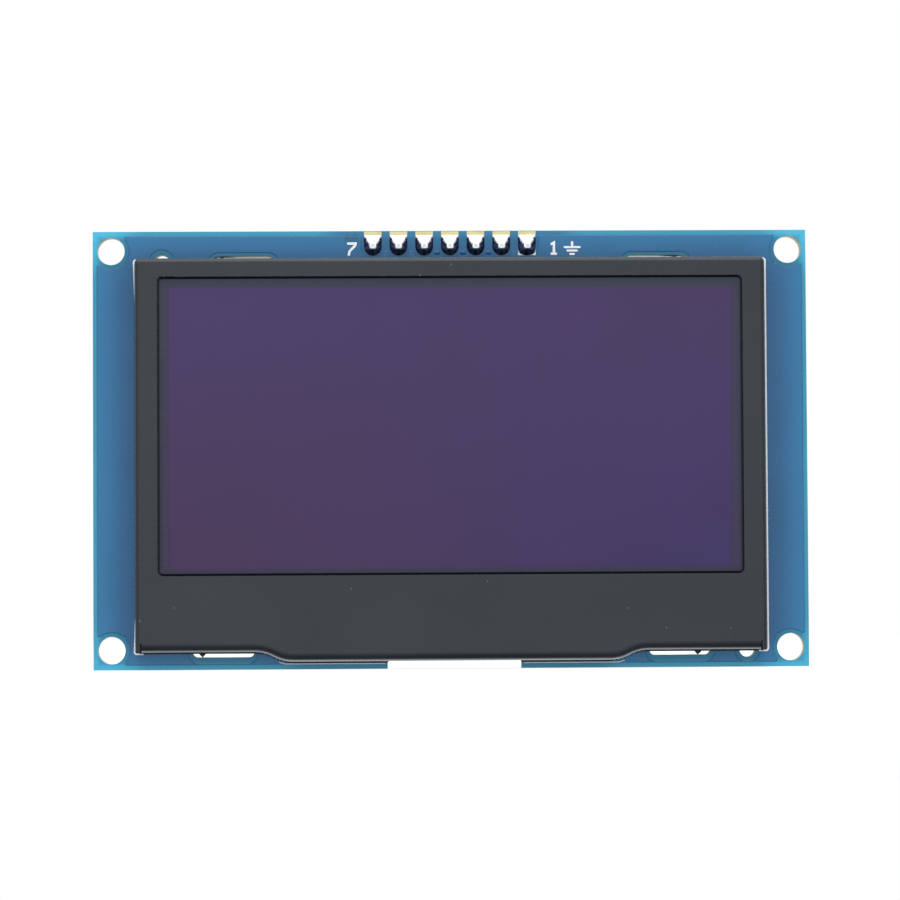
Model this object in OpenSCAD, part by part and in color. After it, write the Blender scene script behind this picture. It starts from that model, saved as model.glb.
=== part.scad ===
// Small OLED display module: a glass panel under a pressed steel bezel, on a circuit board with a pin header.
// Millimetres. X points right as seen from the front, Y from front to back, Z up to the header edge.
// The origin is the middle of the four mounting holes, on the board's front face.

/* [Display panel] */
// Width of the dot matrix
active_w = 55.04; // [45:0.01:80]
// Height of the dot matrix
active_h = 27.52; // [24:0.01:50]
// Glass beyond the dots on the left and on the right
glass_side = 2.73; // [2.2:0.01:5]
// Glass above the dots
glass_head = 2.4; // [1.9:0.1:5]
// Glass below the dots, down to the end of the ledge
glass_foot = 7.08; // [6.5:0.01:10]
// Thickness of the front glass
glass_t = 0.7; // [0.5:0.05:1.1]
// Thickness of the rear glass
cover_t = 1.1; // [0.9:0.1:1.6]
// Height of the ledge that the rear glass leaves free for the driver chip and the flex tail
ledge_h = 4.4; // [4:0.1:5.5]
// Thickness of the polarizer film
film_t = 0.2; // [0.1:0.05:0.3]
// Thickness of the glue line between the two glasses
seal_t = 0.1; // [0.05:0.01:0.2]
// Width of the glue line
seal_w = 1.2; // [0.8:0.1:1.6]
// Depth of the pocket in the rear glass
pocket_depth = 0.35; // [0.2:0.05:0.5]
// Thickness of the drying sheet in the pocket
drying_t = 0.2; // [0.1:0.05:0.2]
// Thickness of the foam tape between the rear glass and the board
tape_t = 0.75; // [0.5:0.05:1.5]
// Width of each strip of tape
tape_w = 8; // [4:0.5:14]
// Sideways place of the display on the board
display_x = -0.08; // [-0.3:0.01:0.3]

/* [Bezel] */
// Thickness of the steel sheet
sheet = 0.3; // [0.2:0.05:0.4]
// Clearance between the glass and the bezel's side walls
glass_gap = 0.35; // [0.2:0.05:0.6]
// Clearance between the glass and the bezel's top wall
head_gap = 0.22; // [0.15:0.01:0.5]
// Clearance between the glass and the bezel's bottom flap
foot_gap = 0.75; // [0.6:0.05:1.2]
// Clearance between the film and the bezel's face
face_gap = 0.05; // [0.02:0.01:0.2]
// Window beyond the dots on the left and on the right
window_side = 1.13; // [0.4:0.01:1.6]
// Window above the dots
window_head = 1.06; // [0.4:0.01:1.4]
// Window below the dots
window_foot = 0.65; // [0.4:0.01:1.4]
// Radius of the window's corners
window_r = 0.5; // [0.2:0.1:1]
// Film that lies under the bezel all round the window
film_lap = 0.65; // [0.3:0.05:0.65]
// Outer bend radius of the top and side walls
wall_bend = 0.5; // [0.4:0.05:0.6]
// Outer bend radius of the bottom flap
flap_bend = 0.9; // [0.5:0.05:1]
// Outward lean of the top and side walls, in degrees
wall_lean = 3.5; // [1:0.5:5]
// Outward lean of the bottom flap, in degrees
flap_lean = 1; // [0.5:0.5:6]
// How far the middle of the bottom flap steps out to clear the flex tail
step_out = 0.95; // [0.8:0.05:1.2]
// Length of each S-curve of the bottom flap
step_run = 3.8; // [3:0.1:5]
// Straight flap between the bezel's corner and each S-curve
shoulder = 11.6; // [11:0.1:13]
// Slit between the bottom flap and each side wall
slit = 0.12; // [0.08:0.01:0.3]
// Width of each twisted tab
tab_w = 1.6; // [1.2:0.1:2]
// Length of the twisted end of a tab
tab_twist_l = 1.5; // [1:0.1:2.5]
// Twist of each tab, in degrees
tab_twist = 50; // [20:5:60]

/* [Board] */
// Thickness of the board
board_t = 1.6; // [0.8:0.1:2]
// Board beyond the glass on the left and on the right
board_side = 5; // [4.5:0.1:9]
// Board above the glass
board_head = 3.4; // [3.3:0.1:8]
// Board below the glass
board_foot = 2.8; // [2.6:0.1:6]
// Radius of the mounting holes
mount_r = 1.35; // [1:0.05:1.6]
// Distance of the mounting holes from the board's sides
mount_side = 1.8; // [1.7:0.05:3]
// Distance of the mounting holes from the board's top and bottom edges
mount_edge = 1.93; // [1.8:0.01:2.4]
// Radius of the two locating holes
locator_r = 0.8; // [0.5:0.05:1]
// Length of the tab slots
slot_l = 6.1; // [5:0.1:7]
// Height of the tab slots
slot_h = 1.1; // [0.9:0.05:1.2]
// Distance of the top slots from the bezel's sides
slot_top_in = 10.5; // [9:0.1:12]
// Distance of the bottom slots from the bezel's sides
slot_foot_in = 8.4; // [7:0.1:8.4]
// Distance of each tab from the middle of its slot
tab_out = 1.65; // [0:0.05:2]
// Width of the notch for the flex tail
notch_w = 13.2; // [13:0.1:16]
// Sideways place of the notch
notch_x = 0.25; // [-1:0.05:1]
// Clearance between the flex tail and the top of the notch
notch_gap = 0.15; // [0.1:0.05:0.6]
// Radius of the notch's inner corners
notch_r = 0.6; // [0.3:0.1:0.8]

/* [Header] */
// Number of pins
pin_count = 7; // [4:1:8]
// Distance from pin to pin
pitch = 2.54; // [2:0.01:2.54]
// Side of a square pin
pin_side = 0.64; // [0.5:0.01:0.64]
// Distance of the pins from the board's top edge
header_inset = 1.56; // [1.5:0.01:1.6]
// Thickness of the plastic strip
strip_t = 2.5; // [1.5:0.1:3]
// Length of the pins beyond the plastic strip
pin_free = 6; // [3:0.5:9]
// Length of the pin tips beyond the board's front face
pin_tip = 1.4; // [1.2:0.1:1.6]
// Radius of the pin holes
pin_hole_r = 0.5; // [0.48:0.01:0.6]
// Radius of the header lands
land_r = 0.87; // [0.8:0.01:0.9]
// Height of the solder joints
joint_h = 1.05; // [0.8:0.05:1.1]

/* [Flex tail] */
// Width of the flex tail
flex_w = 12.5; // [8:0.1:12.5]
// Thickness of the flex tail
flex_t = 0.12; // [0.1:0.01:0.15]
// Radius of the flex tail's two bends, to its middle
flex_bend = 1; // [0.8:0.05:1]
// Height of the flex tail's bond on the glass
flex_bond = 1.6; // [1:0.1:1.8]
// Length of the flex tail up the rear of the board
flex_rise = 3.9; // [3:0.1:6]
// Number of soldered contacts
contact_count = 24; // [16:1:24]
// Distance from contact to contact
contact_pitch = 0.5; // [0.4:0.05:0.5]

/* [Hidden] */
$fn = 48;
eps = 0.01;

resistor_spots = [[-12, 11], [-8, 11], [-4, 11], [4, 11], [8, 11], [12, 11], [9, -8.5], [9, 3]];
capacitor_spots = [[-19.5, 2], [-10.5, 2], [21, -3.5], [21, 3], [-5, -9], [5, -9]];

// Glass, board and bezel outlines, all from the dot matrix outwards
glass_w = active_w + 2 * glass_side;
glass_h = active_h + glass_head + glass_foot;
board_w = glass_w + 2 * board_side;
board_h = glass_h + board_head + board_foot;
board_top = board_h / 2;
glass_top = board_top - board_head;
glass_foot_z = glass_top - glass_h;
active_top = glass_top - glass_head;
active_foot = active_top - active_h;
window_top = active_top + window_head;
window_foot_z = active_foot - window_foot;
window_half = active_w / 2 + window_side;
bezel_half = glass_w / 2 + glass_gap + sheet;
bezel_top = glass_top + head_gap + sheet;
bezel_foot = glass_foot_z - foot_gap - sheet;

// Heights above the board's front face, from the tape up to the bezel's face
rear_glass_at = tape_t;
seal_at = rear_glass_at + cover_t;
front_glass_at = seal_at + seal_t;
film_at = front_glass_at + glass_t;
bezel_h = film_at + film_t + face_gap + sheet;

// Bezel flap: two arcs make each S-curve
step_turn = 2 * atan(step_out / step_run);
step_r = step_run / (2 * sin(step_turn));
step_start = bezel_half - shoulder;
step_end = step_start - step_run;
face_lap = step_out + 0.4;

// Mounting and tab places; the locating holes lie half under the bezel's edge
mount_x = board_w / 2 - mount_side;
mount_z = board_top - mount_edge;
slot_top_x = bezel_half - slot_top_in;
slot_foot_x = bezel_half - slot_foot_in;
slot_top_drop = 0.13;
slot_foot_drop = 0;
locator_left_x = 5 - mount_x;
locator_left_z = bezel_top - 0.2;
locator_right_x = mount_x - 4.3;
locator_right_z = bezel_foot;

// Header
header_z = board_top - header_inset;
land_t = 0.04;
land_edge = 0.05;
strip_half = pitch / 2;

// Flex tail: middle line of its two runs, and the lowest level that it reaches
flex_front_y = -front_glass_at + flex_t / 2;
flex_rear_y = board_t + land_t + flex_t / 2;
flex_turn_z = glass_foot_z - 0.3;
flex_low_z = flex_turn_z - flex_bend;
flex_end_z = flex_turn_z + flex_rise;
contact_h = 0.8;
contact_w = 0.3;
contact_overlap = 1.5;

// Chip parts, as length, width and height
resistor_size = [1.6, 0.8, 0.45];
capacitor_size = [2, 1.25, 0.9];
terminal_l = 0.35;
terminal_step = 0.03;
fillet_l = 0.35;

// Places of the larger rear parts
boost_spot = [9, -3];
inductor_spot = [15.5, -3.5];
rectifier_spot = [15.5, 3.2];
regulator_spot = [-15, 2];

// Moulded parts, as length, width and height, and their gull-wing leads
boost_size = [2.9, 1.6, 1.1];
regulator_size = [2.9, 1.3, 1.0];
rectifier_size = [2.7, 1.6, 1.1];
body_stand = 0.1;
body_draft = 0.08;
mark_r = 0.16;
mark_in = 0.4;
mark_depth = 0.06;
lead_w = 0.4;
rectifier_lead_w = 0.6;
lead_t = 0.15;
lead_shoulder = 0.1;
lead_pitch = 0.95;
lead_foot = 0.6;

// Drum inductor
core_r = 2;
waist_r = 0.9;
winding_r = 1.7;
flange_t = 0.5;
core_h = 2.3;
core_stand = 0.15;
inductor_end = [1, 1.6];

// Lands of the rear parts: how far a lead's land lies beyond the body, and its length
lead_land_out = 0.5;
lead_land_l = 0.8;

function pin_x(i) = ((pin_count + 1) / 2 - i) * pitch;

// ---- Placing -------------------------------------------------------------

// Front of the board: x right, y up, z out of the face
module front() {
    rotate([90, 0, 0]) children();
}

// Rear of the board, as seen from behind: x right, y up, z out of the face
module rear() {
    translate([0, board_t, 0]) rotate([90, 0, 180]) children();
}

// A flat layer on the front, from one height to another
module layer(from, thick) {
    front() translate([0, 0, from]) linear_extrude(thick) children();
}

// A section drawn in y and z, run sideways
module across(width, middle) {
    translate([middle - width / 2, 0, 0]) rotate([90, 0, 90]) linear_extrude(width) children();
}

// ---- Shapes --------------------------------------------------------------

module box_2d(x0, x1, y0, y1) {
    translate([x0, y0]) square([x1 - x0, y1 - y0]);
}

module rounded_box_2d(x0, x1, y0, y1, r) {
    box_2d(x0 + r, x1 - r, y0, y1);
    box_2d(x0, x1, y0 + r, y1 - r);
    for (x = [x0 + r, x1 - r], y = [y0 + r, y1 - r]) translate([x, y]) circle(r);
}

module slot_2d(length, height) {
    square([length - height, height], center = true);
    for (side = [-1, 1]) translate([side * (length - height) / 2, 0]) circle(height / 2);
}

// Part of a ring, no more than a quarter turn
module ring_part(inner, outer, from, turn) {
    reach = 2 * outer;
    intersection() {
        difference() {
            circle(outer);
            circle(inner);
        }
        polygon([
            [0, 0],
            [reach * cos(from), reach * sin(from)],
            [reach * cos(from + turn / 2), reach * sin(from + turn / 2)],
            [reach * cos(from + turn), reach * sin(from + turn)]
        ]);
    }
}

// ---- Board ---------------------------------------------------------------

module tab_slots_2d() {
    for (side = [-1, 1]) {
        translate([side * slot_top_x, bezel_top - slot_top_drop]) slot_2d(slot_l, slot_h);
        translate([side * slot_foot_x, bezel_foot - slot_foot_drop]) slot_2d(slot_l, slot_h);
    }
}

module notch_2d() {
    top = flex_turn_z + notch_gap;
    x0 = notch_x - notch_w / 2;
    x1 = notch_x + notch_w / 2;
    box_2d(x0, x1, -board_top - 1, top - notch_r);
    box_2d(x0 + notch_r, x1 - notch_r, -board_top - 1, top);
    for (x = [x0 + notch_r, x1 - notch_r]) translate([x, top - notch_r]) circle(notch_r);
}

module board() {
    color([0.25, 0.44, 0.61]) layer(-board_t, board_t) difference() {
        square([board_w, board_h], center = true);
        for (x = [-mount_x, mount_x], z = [-mount_z, mount_z]) translate([x, z]) circle(mount_r);
        translate([locator_left_x, locator_left_z]) circle(locator_r);
        translate([locator_right_x, locator_right_z]) circle(locator_r);
        for (i = [1:pin_count]) translate([pin_x(i), header_z]) circle(pin_hole_r);
        tab_slots_2d();
        notch_2d();
    }
}

// The land of pin 1 is square, the others are round at the foot
module header_land_2d(i) {
    difference() {
        union() {
            box_2d(-land_r, land_r, 0, header_inset - land_edge);
            if (i == 1) {
                box_2d(-land_r, land_r, -land_r, eps);
            } else {
                circle(land_r);
            }
        }
        circle(pin_hole_r);
    }
}

module header_lands() {
    color([0.85, 0.8, 0.5]) layer(0, land_t) {
        for (i = [1:pin_count]) translate([pin_x(i), header_z]) header_land_2d(i);
    }
}

// ---- Bezel ---------------------------------------------------------------

// Section of the pressed edge: x outwards from the bend, y up from the board.
// A strip of the face, the bend and the leaning wall are one piece.
module edge_section(bend, lean, lap) {
    rise = bezel_h - bend;
    wall_l = (rise + bend * sin(lean)) / cos(lean);
    if (lap > 0) translate([-bend - lap, bezel_h - sheet]) square([lap, sheet]);
    translate([-bend, rise]) ring_part(bend - sheet, bend, lean, 90 - lean);
    intersection() {
        translate([-bend, rise]) rotate(lean) translate([bend - sheet, -wall_l - 1]) square([sheet, wall_l + 1]);
        translate([-bend, 0]) square([2 * bend + 1, bezel_h]);
    }
}

// Outer face of the wall at the board
function edge_reach(bend, lean) = -bend + bend * cos(lean) + (bezel_h - bend + bend * sin(lean)) * tan(lean);

// A straight length of the edge, from x0 to x1, with its outside towards -y
module straight_edge(bend, lean, lap, x0, x1) {
    translate([x0, 0, 0]) rotate([90, 0, 90]) linear_extrude(x1 - x0) mirror([1, 0]) edge_section(bend, lean, lap);
}

// One S-curve of the flap, on the right: an inward arc and an outward arc
module flap_step() {
    translate([step_start, bezel_foot - step_r, 0]) rotate([0, 0, 90]) rotate_extrude(angle = step_turn)
        translate([step_r, 0]) mirror([1, 0]) edge_section(flap_bend, flap_lean, face_lap);
    translate([step_end, bezel_foot - step_out + step_r, 0]) rotate([0, 0, 270]) rotate_extrude(angle = step_turn)
        translate([step_r, 0]) edge_section(flap_bend, flap_lean, face_lap);
}

module flap() {
    flap_end = bezel_half - wall_bend - slit;
    for (side = [0, 1]) mirror([side, 0, 0]) {
        translate([0, bezel_foot, 0]) straight_edge(flap_bend, flap_lean, face_lap, step_start, flap_end);
        flap_step();
    }
    translate([0, bezel_foot - step_out, 0]) straight_edge(flap_bend, flap_lean, face_lap, -step_end, step_end);
}

module side_wall() {
    top = bezel_top - wall_bend;
    translate([bezel_half, 0, 0]) rotate([0, 0, 90]) straight_edge(wall_bend, wall_lean, 0, bezel_foot, top);
    translate([bezel_half - wall_bend, top, 0]) rotate_extrude(angle = 90)
        translate([wall_bend, 0]) edge_section(wall_bend, wall_lean, 0);
}

module top_wall() {
    half = bezel_half - wall_bend;
    translate([0, bezel_top, 0]) rotate([0, 0, 180]) straight_edge(wall_bend, wall_lean, 0, -half, half);
}

module bezel_face() {
    half = bezel_half - wall_bend;
    translate([0, 0, bezel_h - sheet]) linear_extrude(sheet) difference() {
        box_2d(-half, half, bezel_foot + flap_bend, bezel_top - wall_bend);
        rounded_box_2d(-window_half, window_half, window_foot_z, window_top, window_r);
    }
}

// A tab goes straight through its slot, then twists to grip the board.
// It starts at the middle of the wall's rim and points away from the viewer.
module tab(turn) {
    translate([-tab_w / 2, -sheet / 2, -board_t]) cube([tab_w, sheet, board_t]);
    translate([0, 0, -board_t - tab_twist_l]) rotate([0, 0, turn])
        linear_extrude(tab_twist_l, twist = turn, slices = 8, $fn = 8) square([tab_w, sheet], center = true);
}

module tabs() {
    top_y = bezel_top + edge_reach(wall_bend, wall_lean) - sheet / 2;
    foot_y = bezel_foot - edge_reach(flap_bend, flap_lean) + sheet / 2;
    for (side = [-1, 1]) {
        translate([side * (slot_top_x + tab_out), top_y, 0]) tab(side * tab_twist);
        translate([side * (slot_foot_x + tab_out), foot_y, 0]) tab(-side * tab_twist);
    }
}

module bezel() {
    color([0.25, 0.27, 0.29]) translate([display_x, 0, 0]) front() union() {
        bezel_face();
        flap();
        for (side = [0, 1]) mirror([side, 0, 0]) side_wall();
        top_wall();
        tabs();
    }
}

// ---- Panel ---------------------------------------------------------------

module polarizer() {
    half = window_half + film_lap;
    color([0.2, 0.2, 0.24]) translate([display_x, 0, 0]) layer(film_at, film_t)
        box_2d(-half, half, window_foot_z - film_lap, window_top + film_lap);
}

module front_glass() {
    color([0.7, 0.75, 0.75]) translate([display_x, 0, 0]) layer(front_glass_at, glass_t)
        box_2d(-glass_w / 2, glass_w / 2, glass_foot_z, glass_top);
}

// The dots hang under the front glass, inside the seal
module dot_matrix() {
    matrix_t = seal_t / 2;
    color([0.31, 0.26, 0.41]) translate([display_x, 0, 0]) layer(front_glass_at - matrix_t, matrix_t)
        box_2d(-active_w / 2, active_w / 2, active_foot, active_top);
}

module seal_frame() {
    half = glass_w / 2;
    foot = glass_foot_z + ledge_h;
    color([0.6, 0.58, 0.5]) translate([display_x, 0, 0]) layer(seal_at, seal_t) difference() {
        box_2d(-half, half, foot, glass_top);
        box_2d(seal_w - half, half - seal_w, foot + seal_w, glass_top - seal_w);
    }
}

module rear_glass() {
    half = glass_w / 2;
    foot = glass_foot_z + ledge_h;
    color([0.6, 0.66, 0.66]) translate([display_x, 0, 0]) difference() {
        layer(rear_glass_at, cover_t) box_2d(-half, half, foot, glass_top);
        layer(seal_at - pocket_depth, pocket_depth + 1)
            box_2d(seal_w - half, half - seal_w, foot + seal_w, glass_top - seal_w);
    }
}

module drying_sheet() {
    margin = 3;
    half = glass_w / 2 - seal_w - margin;
    foot = glass_foot_z + ledge_h + seal_w + margin;
    color([0.85, 0.85, 0.82]) translate([display_x, 0, 0]) layer(seal_at - pocket_depth, drying_t)
        box_2d(-half, half, foot, glass_top - seal_w - margin);
}

// The driver is bonded to the rear of the ledge, above the flex tail's bond
module driver_chip() {
    chip_half = 5.5;
    chip_h = 1.1;
    chip_t = 0.3;
    foot = glass_foot_z + flex_bond + 0.6;
    color([0.35, 0.36, 0.38]) translate([display_x, 0, 0]) layer(front_glass_at - chip_t, chip_t)
        box_2d(-chip_half, chip_half, foot, foot + chip_h);
}

module tape(side) {
    inset = 2.5;
    outer = glass_w / 2 - inset;
    foot = glass_foot_z + ledge_h + inset;
    color([0.9, 0.9, 0.88]) translate([display_x, 0, 0]) mirror([side < 0 ? 1 : 0, 0, 0]) layer(0, tape_t)
        box_2d(outer - tape_w, outer, foot, glass_top - inset);
}

// ---- Flex tail -----------------------------------------------------------

// Down from the glass, back through the notch and up the rear of the board
module flex_path_2d() {
    half = flex_t / 2;
    front_arc_y = flex_front_y + flex_bend;
    rear_arc_y = flex_rear_y - flex_bend;
    box_2d(flex_front_y - half, flex_front_y + half, flex_turn_z, glass_foot_z + flex_bond);
    translate([front_arc_y, flex_turn_z]) ring_part(flex_bend - half, flex_bend + half, 180, 90);
    box_2d(front_arc_y, rear_arc_y, flex_low_z - half, flex_low_z + half);
    translate([rear_arc_y, flex_turn_z]) ring_part(flex_bend - half, flex_bend + half, 270, 90);
    box_2d(flex_rear_y - half, flex_rear_y + half, flex_turn_z, flex_end_z);
}

module flex_tail() {
    color([0.75, 0.45, 0.12]) across(flex_w, notch_x) flex_path_2d();
}

module at_contacts() {
    for (i = [1:contact_count]) {
        translate([(i - (contact_count + 1) / 2) * contact_pitch - notch_x, flex_end_z, 0]) children();
    }
}

module contact_lands() {
    color([0.85, 0.8, 0.5]) rear() at_contacts()
        translate([-contact_w / 2, -contact_overlap, 0]) cube([contact_w, contact_overlap + contact_h, land_t]);
}

// A wedge of solder against the end of the tail on each contact
module flex_solder() {
    color([0.75, 0.76, 0.78]) rear() at_contacts()
        translate([-contact_w / 2, 0, land_t]) rotate([90, 0, 90]) linear_extrude(contact_w)
            polygon([[0, 0], [contact_h, 0], [contact_h / 3, flex_t * 0.6], [0, flex_t]]);
}

// ---- Header --------------------------------------------------------------

// Break-away strip: a notch between every two pins, and square holes
module header_strip() {
    bevel = 0.5;
    length = pin_count * pitch;
    color([0.09, 0.09, 0.1]) translate([0, board_t + strip_t, header_z]) rotate([90, 0, 0])
        linear_extrude(strip_t) difference() {
            square([length, 2 * strip_half], center = true);
            for (i = [0:pin_count], side = [-1, 1]) {
                translate([(i - pin_count / 2) * pitch, side * strip_half]) rotate(45)
                    square(bevel * sqrt(2), center = true);
            }
            for (i = [1:pin_count]) translate([pin_x(i), 0]) square(pin_side, center = true);
        }
}

// Side view of a pin along y, pointed at both ends
module pin_side_2d() {
    half = pin_side / 2;
    point = 0.3;
    nose = 0.15;
    from = -pin_tip;
    to = board_t + strip_t + pin_free;
    polygon([
        [-nose, from], [nose, from], [half, from + point], [half, to - 2 * point], [nose, to],
        [-nose, to], [-half, to - 2 * point], [-half, from + point]
    ]);
}

module header_pin(i) {
    color([0.85, 0.75, 0.45]) translate([pin_x(i), 0, header_z]) intersection() {
        translate([0, 0, -pin_side]) linear_extrude(2 * pin_side) pin_side_2d();
        translate([-pin_side, 0, 0]) rotate([0, 90, 0]) linear_extrude(2 * pin_side) pin_side_2d();
    }
}

// Half section of a solder cone with a hollow flank
module cone_section(base, top, height) {
    flank = 1.5 * height;
    chord = norm([base - top, height]);
    sag = sqrt(flank * flank - chord * chord / 4);
    centre = [(base + top) / 2 + sag * height / chord, height / 2 + sag * (base - top) / chord];
    difference() {
        polygon([[0, 0], [base, 0], [top, height], [0, height]]);
        translate(centre) circle(flank);
    }
}

// The solder climbs the pin and runs up the land towards the board's edge
module header_joint(i) {
    base = land_r - land_edge;
    bare = 0.4;
    toe = 0.25;
    color([0.75, 0.76, 0.78]) difference() {
        translate([pin_x(i), 0, header_z]) front() translate([0, 0, land_t]) union() {
            rotate_extrude() cone_section(base, pin_side * 0.8, joint_h);
            translate([-base, 0, 0]) cube([2 * base, header_inset - bare, toe]);
        }
        translate([pin_x(i), 0, header_z]) cube([pin_side, 2 * pin_tip + 1, pin_side], center = true);
    }
}

// ---- Rear parts ----------------------------------------------------------

// A chip part lies along x, with plated ends a little proud of its body
module chip(size) {
    body = [size[0] - 2 * terminal_l, size[1] - 2 * terminal_step, size[2] - 2 * terminal_step];
    translate([-size[0] / 2 + terminal_l, -body[1] / 2, terminal_step]) cube(body);
    for (side = [-1, 1]) {
        translate([side * (size[0] - terminal_l) / 2, 0, size[2] / 2])
            cube([terminal_l, size[1], size[2]], center = true);
    }
}

module on_land(spot, turn = 0) {
    rear() translate([spot[0], spot[1], land_t]) rotate([0, 0, turn]) children();
}

module resistor(i) {
    color([0.1, 0.1, 0.11]) on_land(resistor_spots[i - 1], 90) chip(resistor_size);
}

module capacitor(i) {
    color([0.66, 0.52, 0.36]) on_land(capacitor_spots[i - 1], 90) chip(capacitor_size);
}

// Lands under a chip part's two ends, long enough for a fillet
module chip_lands(size) {
    for (side = [-1, 1]) {
        translate([side * (size[0] / 2 - terminal_l / 2 + fillet_l / 2), 0, -land_t / 2])
            cube([terminal_l + fillet_l + 2 * land_edge, size[1] + 2 * land_edge, land_t], center = true);
    }
}

module chip_fillets(size) {
    for (side = [0, 1]) mirror([side, 0, 0]) {
        translate([size[0] / 2, size[1] / 2, 0]) rotate([90, 0, 0]) linear_extrude(size[1])
            polygon([[0, 0], [fillet_l, 0], [fillet_l * 0.3, size[2] * 0.3], [0, size[2] * 0.7]]);
    }
}

// Section of a moulded body, drawn in above and below its parting line
module moulded_section(width, height) {
    middle = (height + body_stand) / 2;
    half = width / 2;
    polygon([
        [body_draft - half, body_stand], [half - body_draft, body_stand], [half, middle],
        [half - body_draft, height], [body_draft - half, height], [-half, middle]
    ]);
}

// Moulded body with draft on all four sides, and a round mark by the first lead if it has one
module moulded_body(length, width, height, marked) {
    difference() {
        intersection() {
            translate([-length / 2, 0, 0]) rotate([90, 0, 90]) linear_extrude(length)
                moulded_section(width, height);
            translate([0, width / 2, 0]) rotate([90, 0, 0]) linear_extrude(width)
                moulded_section(length, height);
        }
        if (marked) {
            translate([mark_in - length / 2, mark_in - width / 2, height - mark_depth]) cylinder(r = mark_r, h = 1);
        }
    }
}

// Gull-wing lead on the +y side: out of the body, down and along the land
module gull_lead(width, half, height) {
    mid = height / 2 + lead_t / 3;
    translate([-width / 2, half, 0]) rotate([90, 0, 90]) linear_extrude(width)
        polygon([
            [0, mid], [lead_shoulder, mid], [2 * lead_shoulder, 0], [lead_foot, 0],
            [lead_foot, lead_t], [3 * lead_shoulder, lead_t], [2 * lead_shoulder, mid + lead_t], [0, mid + lead_t]
        ]);
}

module boost_converter() {
    color([0.08, 0.08, 0.09]) on_land(boost_spot)
        moulded_body(boost_size[0], boost_size[1], boost_size[2], true);
}

module at_boost_leads() {
    for (x = [-lead_pitch, 0, lead_pitch], side = [0, 1]) {
        mirror([0, side, 0]) translate([x, 0, 0]) children();
    }
}

module at_regulator_leads() {
    translate([-lead_pitch, 0, 0]) children();
    translate([lead_pitch, 0, 0]) children();
    mirror([0, 1, 0]) children();
}

module boost_converter_leads() {
    color([0.75, 0.76, 0.78]) on_land(boost_spot) at_boost_leads()
        gull_lead(lead_w, boost_size[1] / 2, boost_size[2]);
}

module regulator() {
    color([0.08, 0.08, 0.09]) on_land(regulator_spot)
        moulded_body(regulator_size[0], regulator_size[1], regulator_size[2], false);
}

module regulator_leads() {
    color([0.75, 0.76, 0.78]) on_land(regulator_spot) at_regulator_leads()
        gull_lead(lead_w, regulator_size[1] / 2, regulator_size[2]);
}

module rectifier() {
    color([0.08, 0.08, 0.09]) on_land(rectifier_spot) rotate([0, 0, 90])
        moulded_body(rectifier_size[1], rectifier_size[0], rectifier_size[2], false);
}

module at_rectifier_leads() {
    for (side = [0, 1]) mirror([side, 0, 0]) rotate([0, 0, -90]) children();
}

module rectifier_leads() {
    color([0.75, 0.76, 0.78]) on_land(rectifier_spot) at_rectifier_leads()
        gull_lead(rectifier_lead_w, rectifier_size[0] / 2, rectifier_size[2]);
}

// Drum of ferrite: two flanges on a waist
module inductor_core() {
    color([0.2, 0.2, 0.22]) on_land(inductor_spot) translate([0, 0, core_stand]) union() {
        cylinder(r = core_r, h = flange_t);
        cylinder(r = waist_r, h = core_h);
        translate([0, 0, core_h - flange_t]) cylinder(r = core_r, h = flange_t);
    }
}

module inductor_winding() {
    color([0.6, 0.3, 0.12]) on_land(inductor_spot) translate([0, 0, core_stand + flange_t]) difference() {
        cylinder(r = winding_r, h = core_h - 2 * flange_t);
        translate([0, 0, -1]) cylinder(r = waist_r, h = core_h + 2);
    }
}

module inductor_terminals() {
    color([0.75, 0.76, 0.78]) on_land(inductor_spot) for (side = [-1, 1]) {
        translate([side * (core_r - inductor_end[0] / 2 + 0.2), 0, core_stand / 2])
            cube([inductor_end[0], inductor_end[1], core_stand], center = true);
    }
}

// Lands of the parts on the rear, without those of the flex tail
module part_lands() {
    foot_land = [lead_w + 2 * land_edge, lead_land_l, land_t];
    wide_land = [rectifier_lead_w + 4 * land_edge, lead_land_l, land_t];
    color([0.85, 0.8, 0.5]) {
        for (spot = resistor_spots) on_land(spot, 90) chip_lands(resistor_size);
        for (spot = capacitor_spots) on_land(spot, 90) chip_lands(capacitor_size);
        on_land(boost_spot) at_boost_leads() translate([0, boost_size[1] / 2 + lead_land_out, -land_t / 2])
            cube(foot_land, center = true);
        on_land(regulator_spot) at_regulator_leads() translate([0, regulator_size[1] / 2 + lead_land_out, -land_t / 2])
            cube(foot_land, center = true);
        on_land(rectifier_spot) at_rectifier_leads() translate([0, rectifier_size[0] / 2 + lead_land_out, -land_t / 2])
            cube(wide_land, center = true);
        on_land(inductor_spot) for (side = [-1, 1]) {
            translate([side * (core_r - 0.2), 0, -land_t / 2])
                cube([inductor_end[0] + 0.4, inductor_end[1] + 0.3, land_t], center = true);
        }
    }
}

// Fillets at the ends of the chip parts
module part_solder() {
    color([0.75, 0.76, 0.78]) {
        for (spot = resistor_spots) on_land(spot, 90) chip_fillets(resistor_size);
        for (spot = capacitor_spots) on_land(spot, 90) chip_fillets(capacitor_size);
    }
}

// ---- Nodes ---------------------------------------------------------------

board();
header_lands();
part_lands();
contact_lands();
bezel();
polarizer();
front_glass();
dot_matrix();
seal_frame();
rear_glass();
drying_sheet();
driver_chip();
tape(-1);  // tape_left
tape(1);  // tape_right
flex_tail();
flex_solder();
header_strip();
for (i = [1:pin_count]) {
    header_pin(i);
    header_joint(i);
}
boost_converter();
boost_converter_leads();
inductor_core();
inductor_winding();
inductor_terminals();
rectifier();
rectifier_leads();
regulator();
regulator_leads();
part_solder();
for (i = [1:len(resistor_spots)]) {
    resistor(i);
}
for (i = [1:len(capacitor_spots)]) {
    capacitor(i);
}
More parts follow.
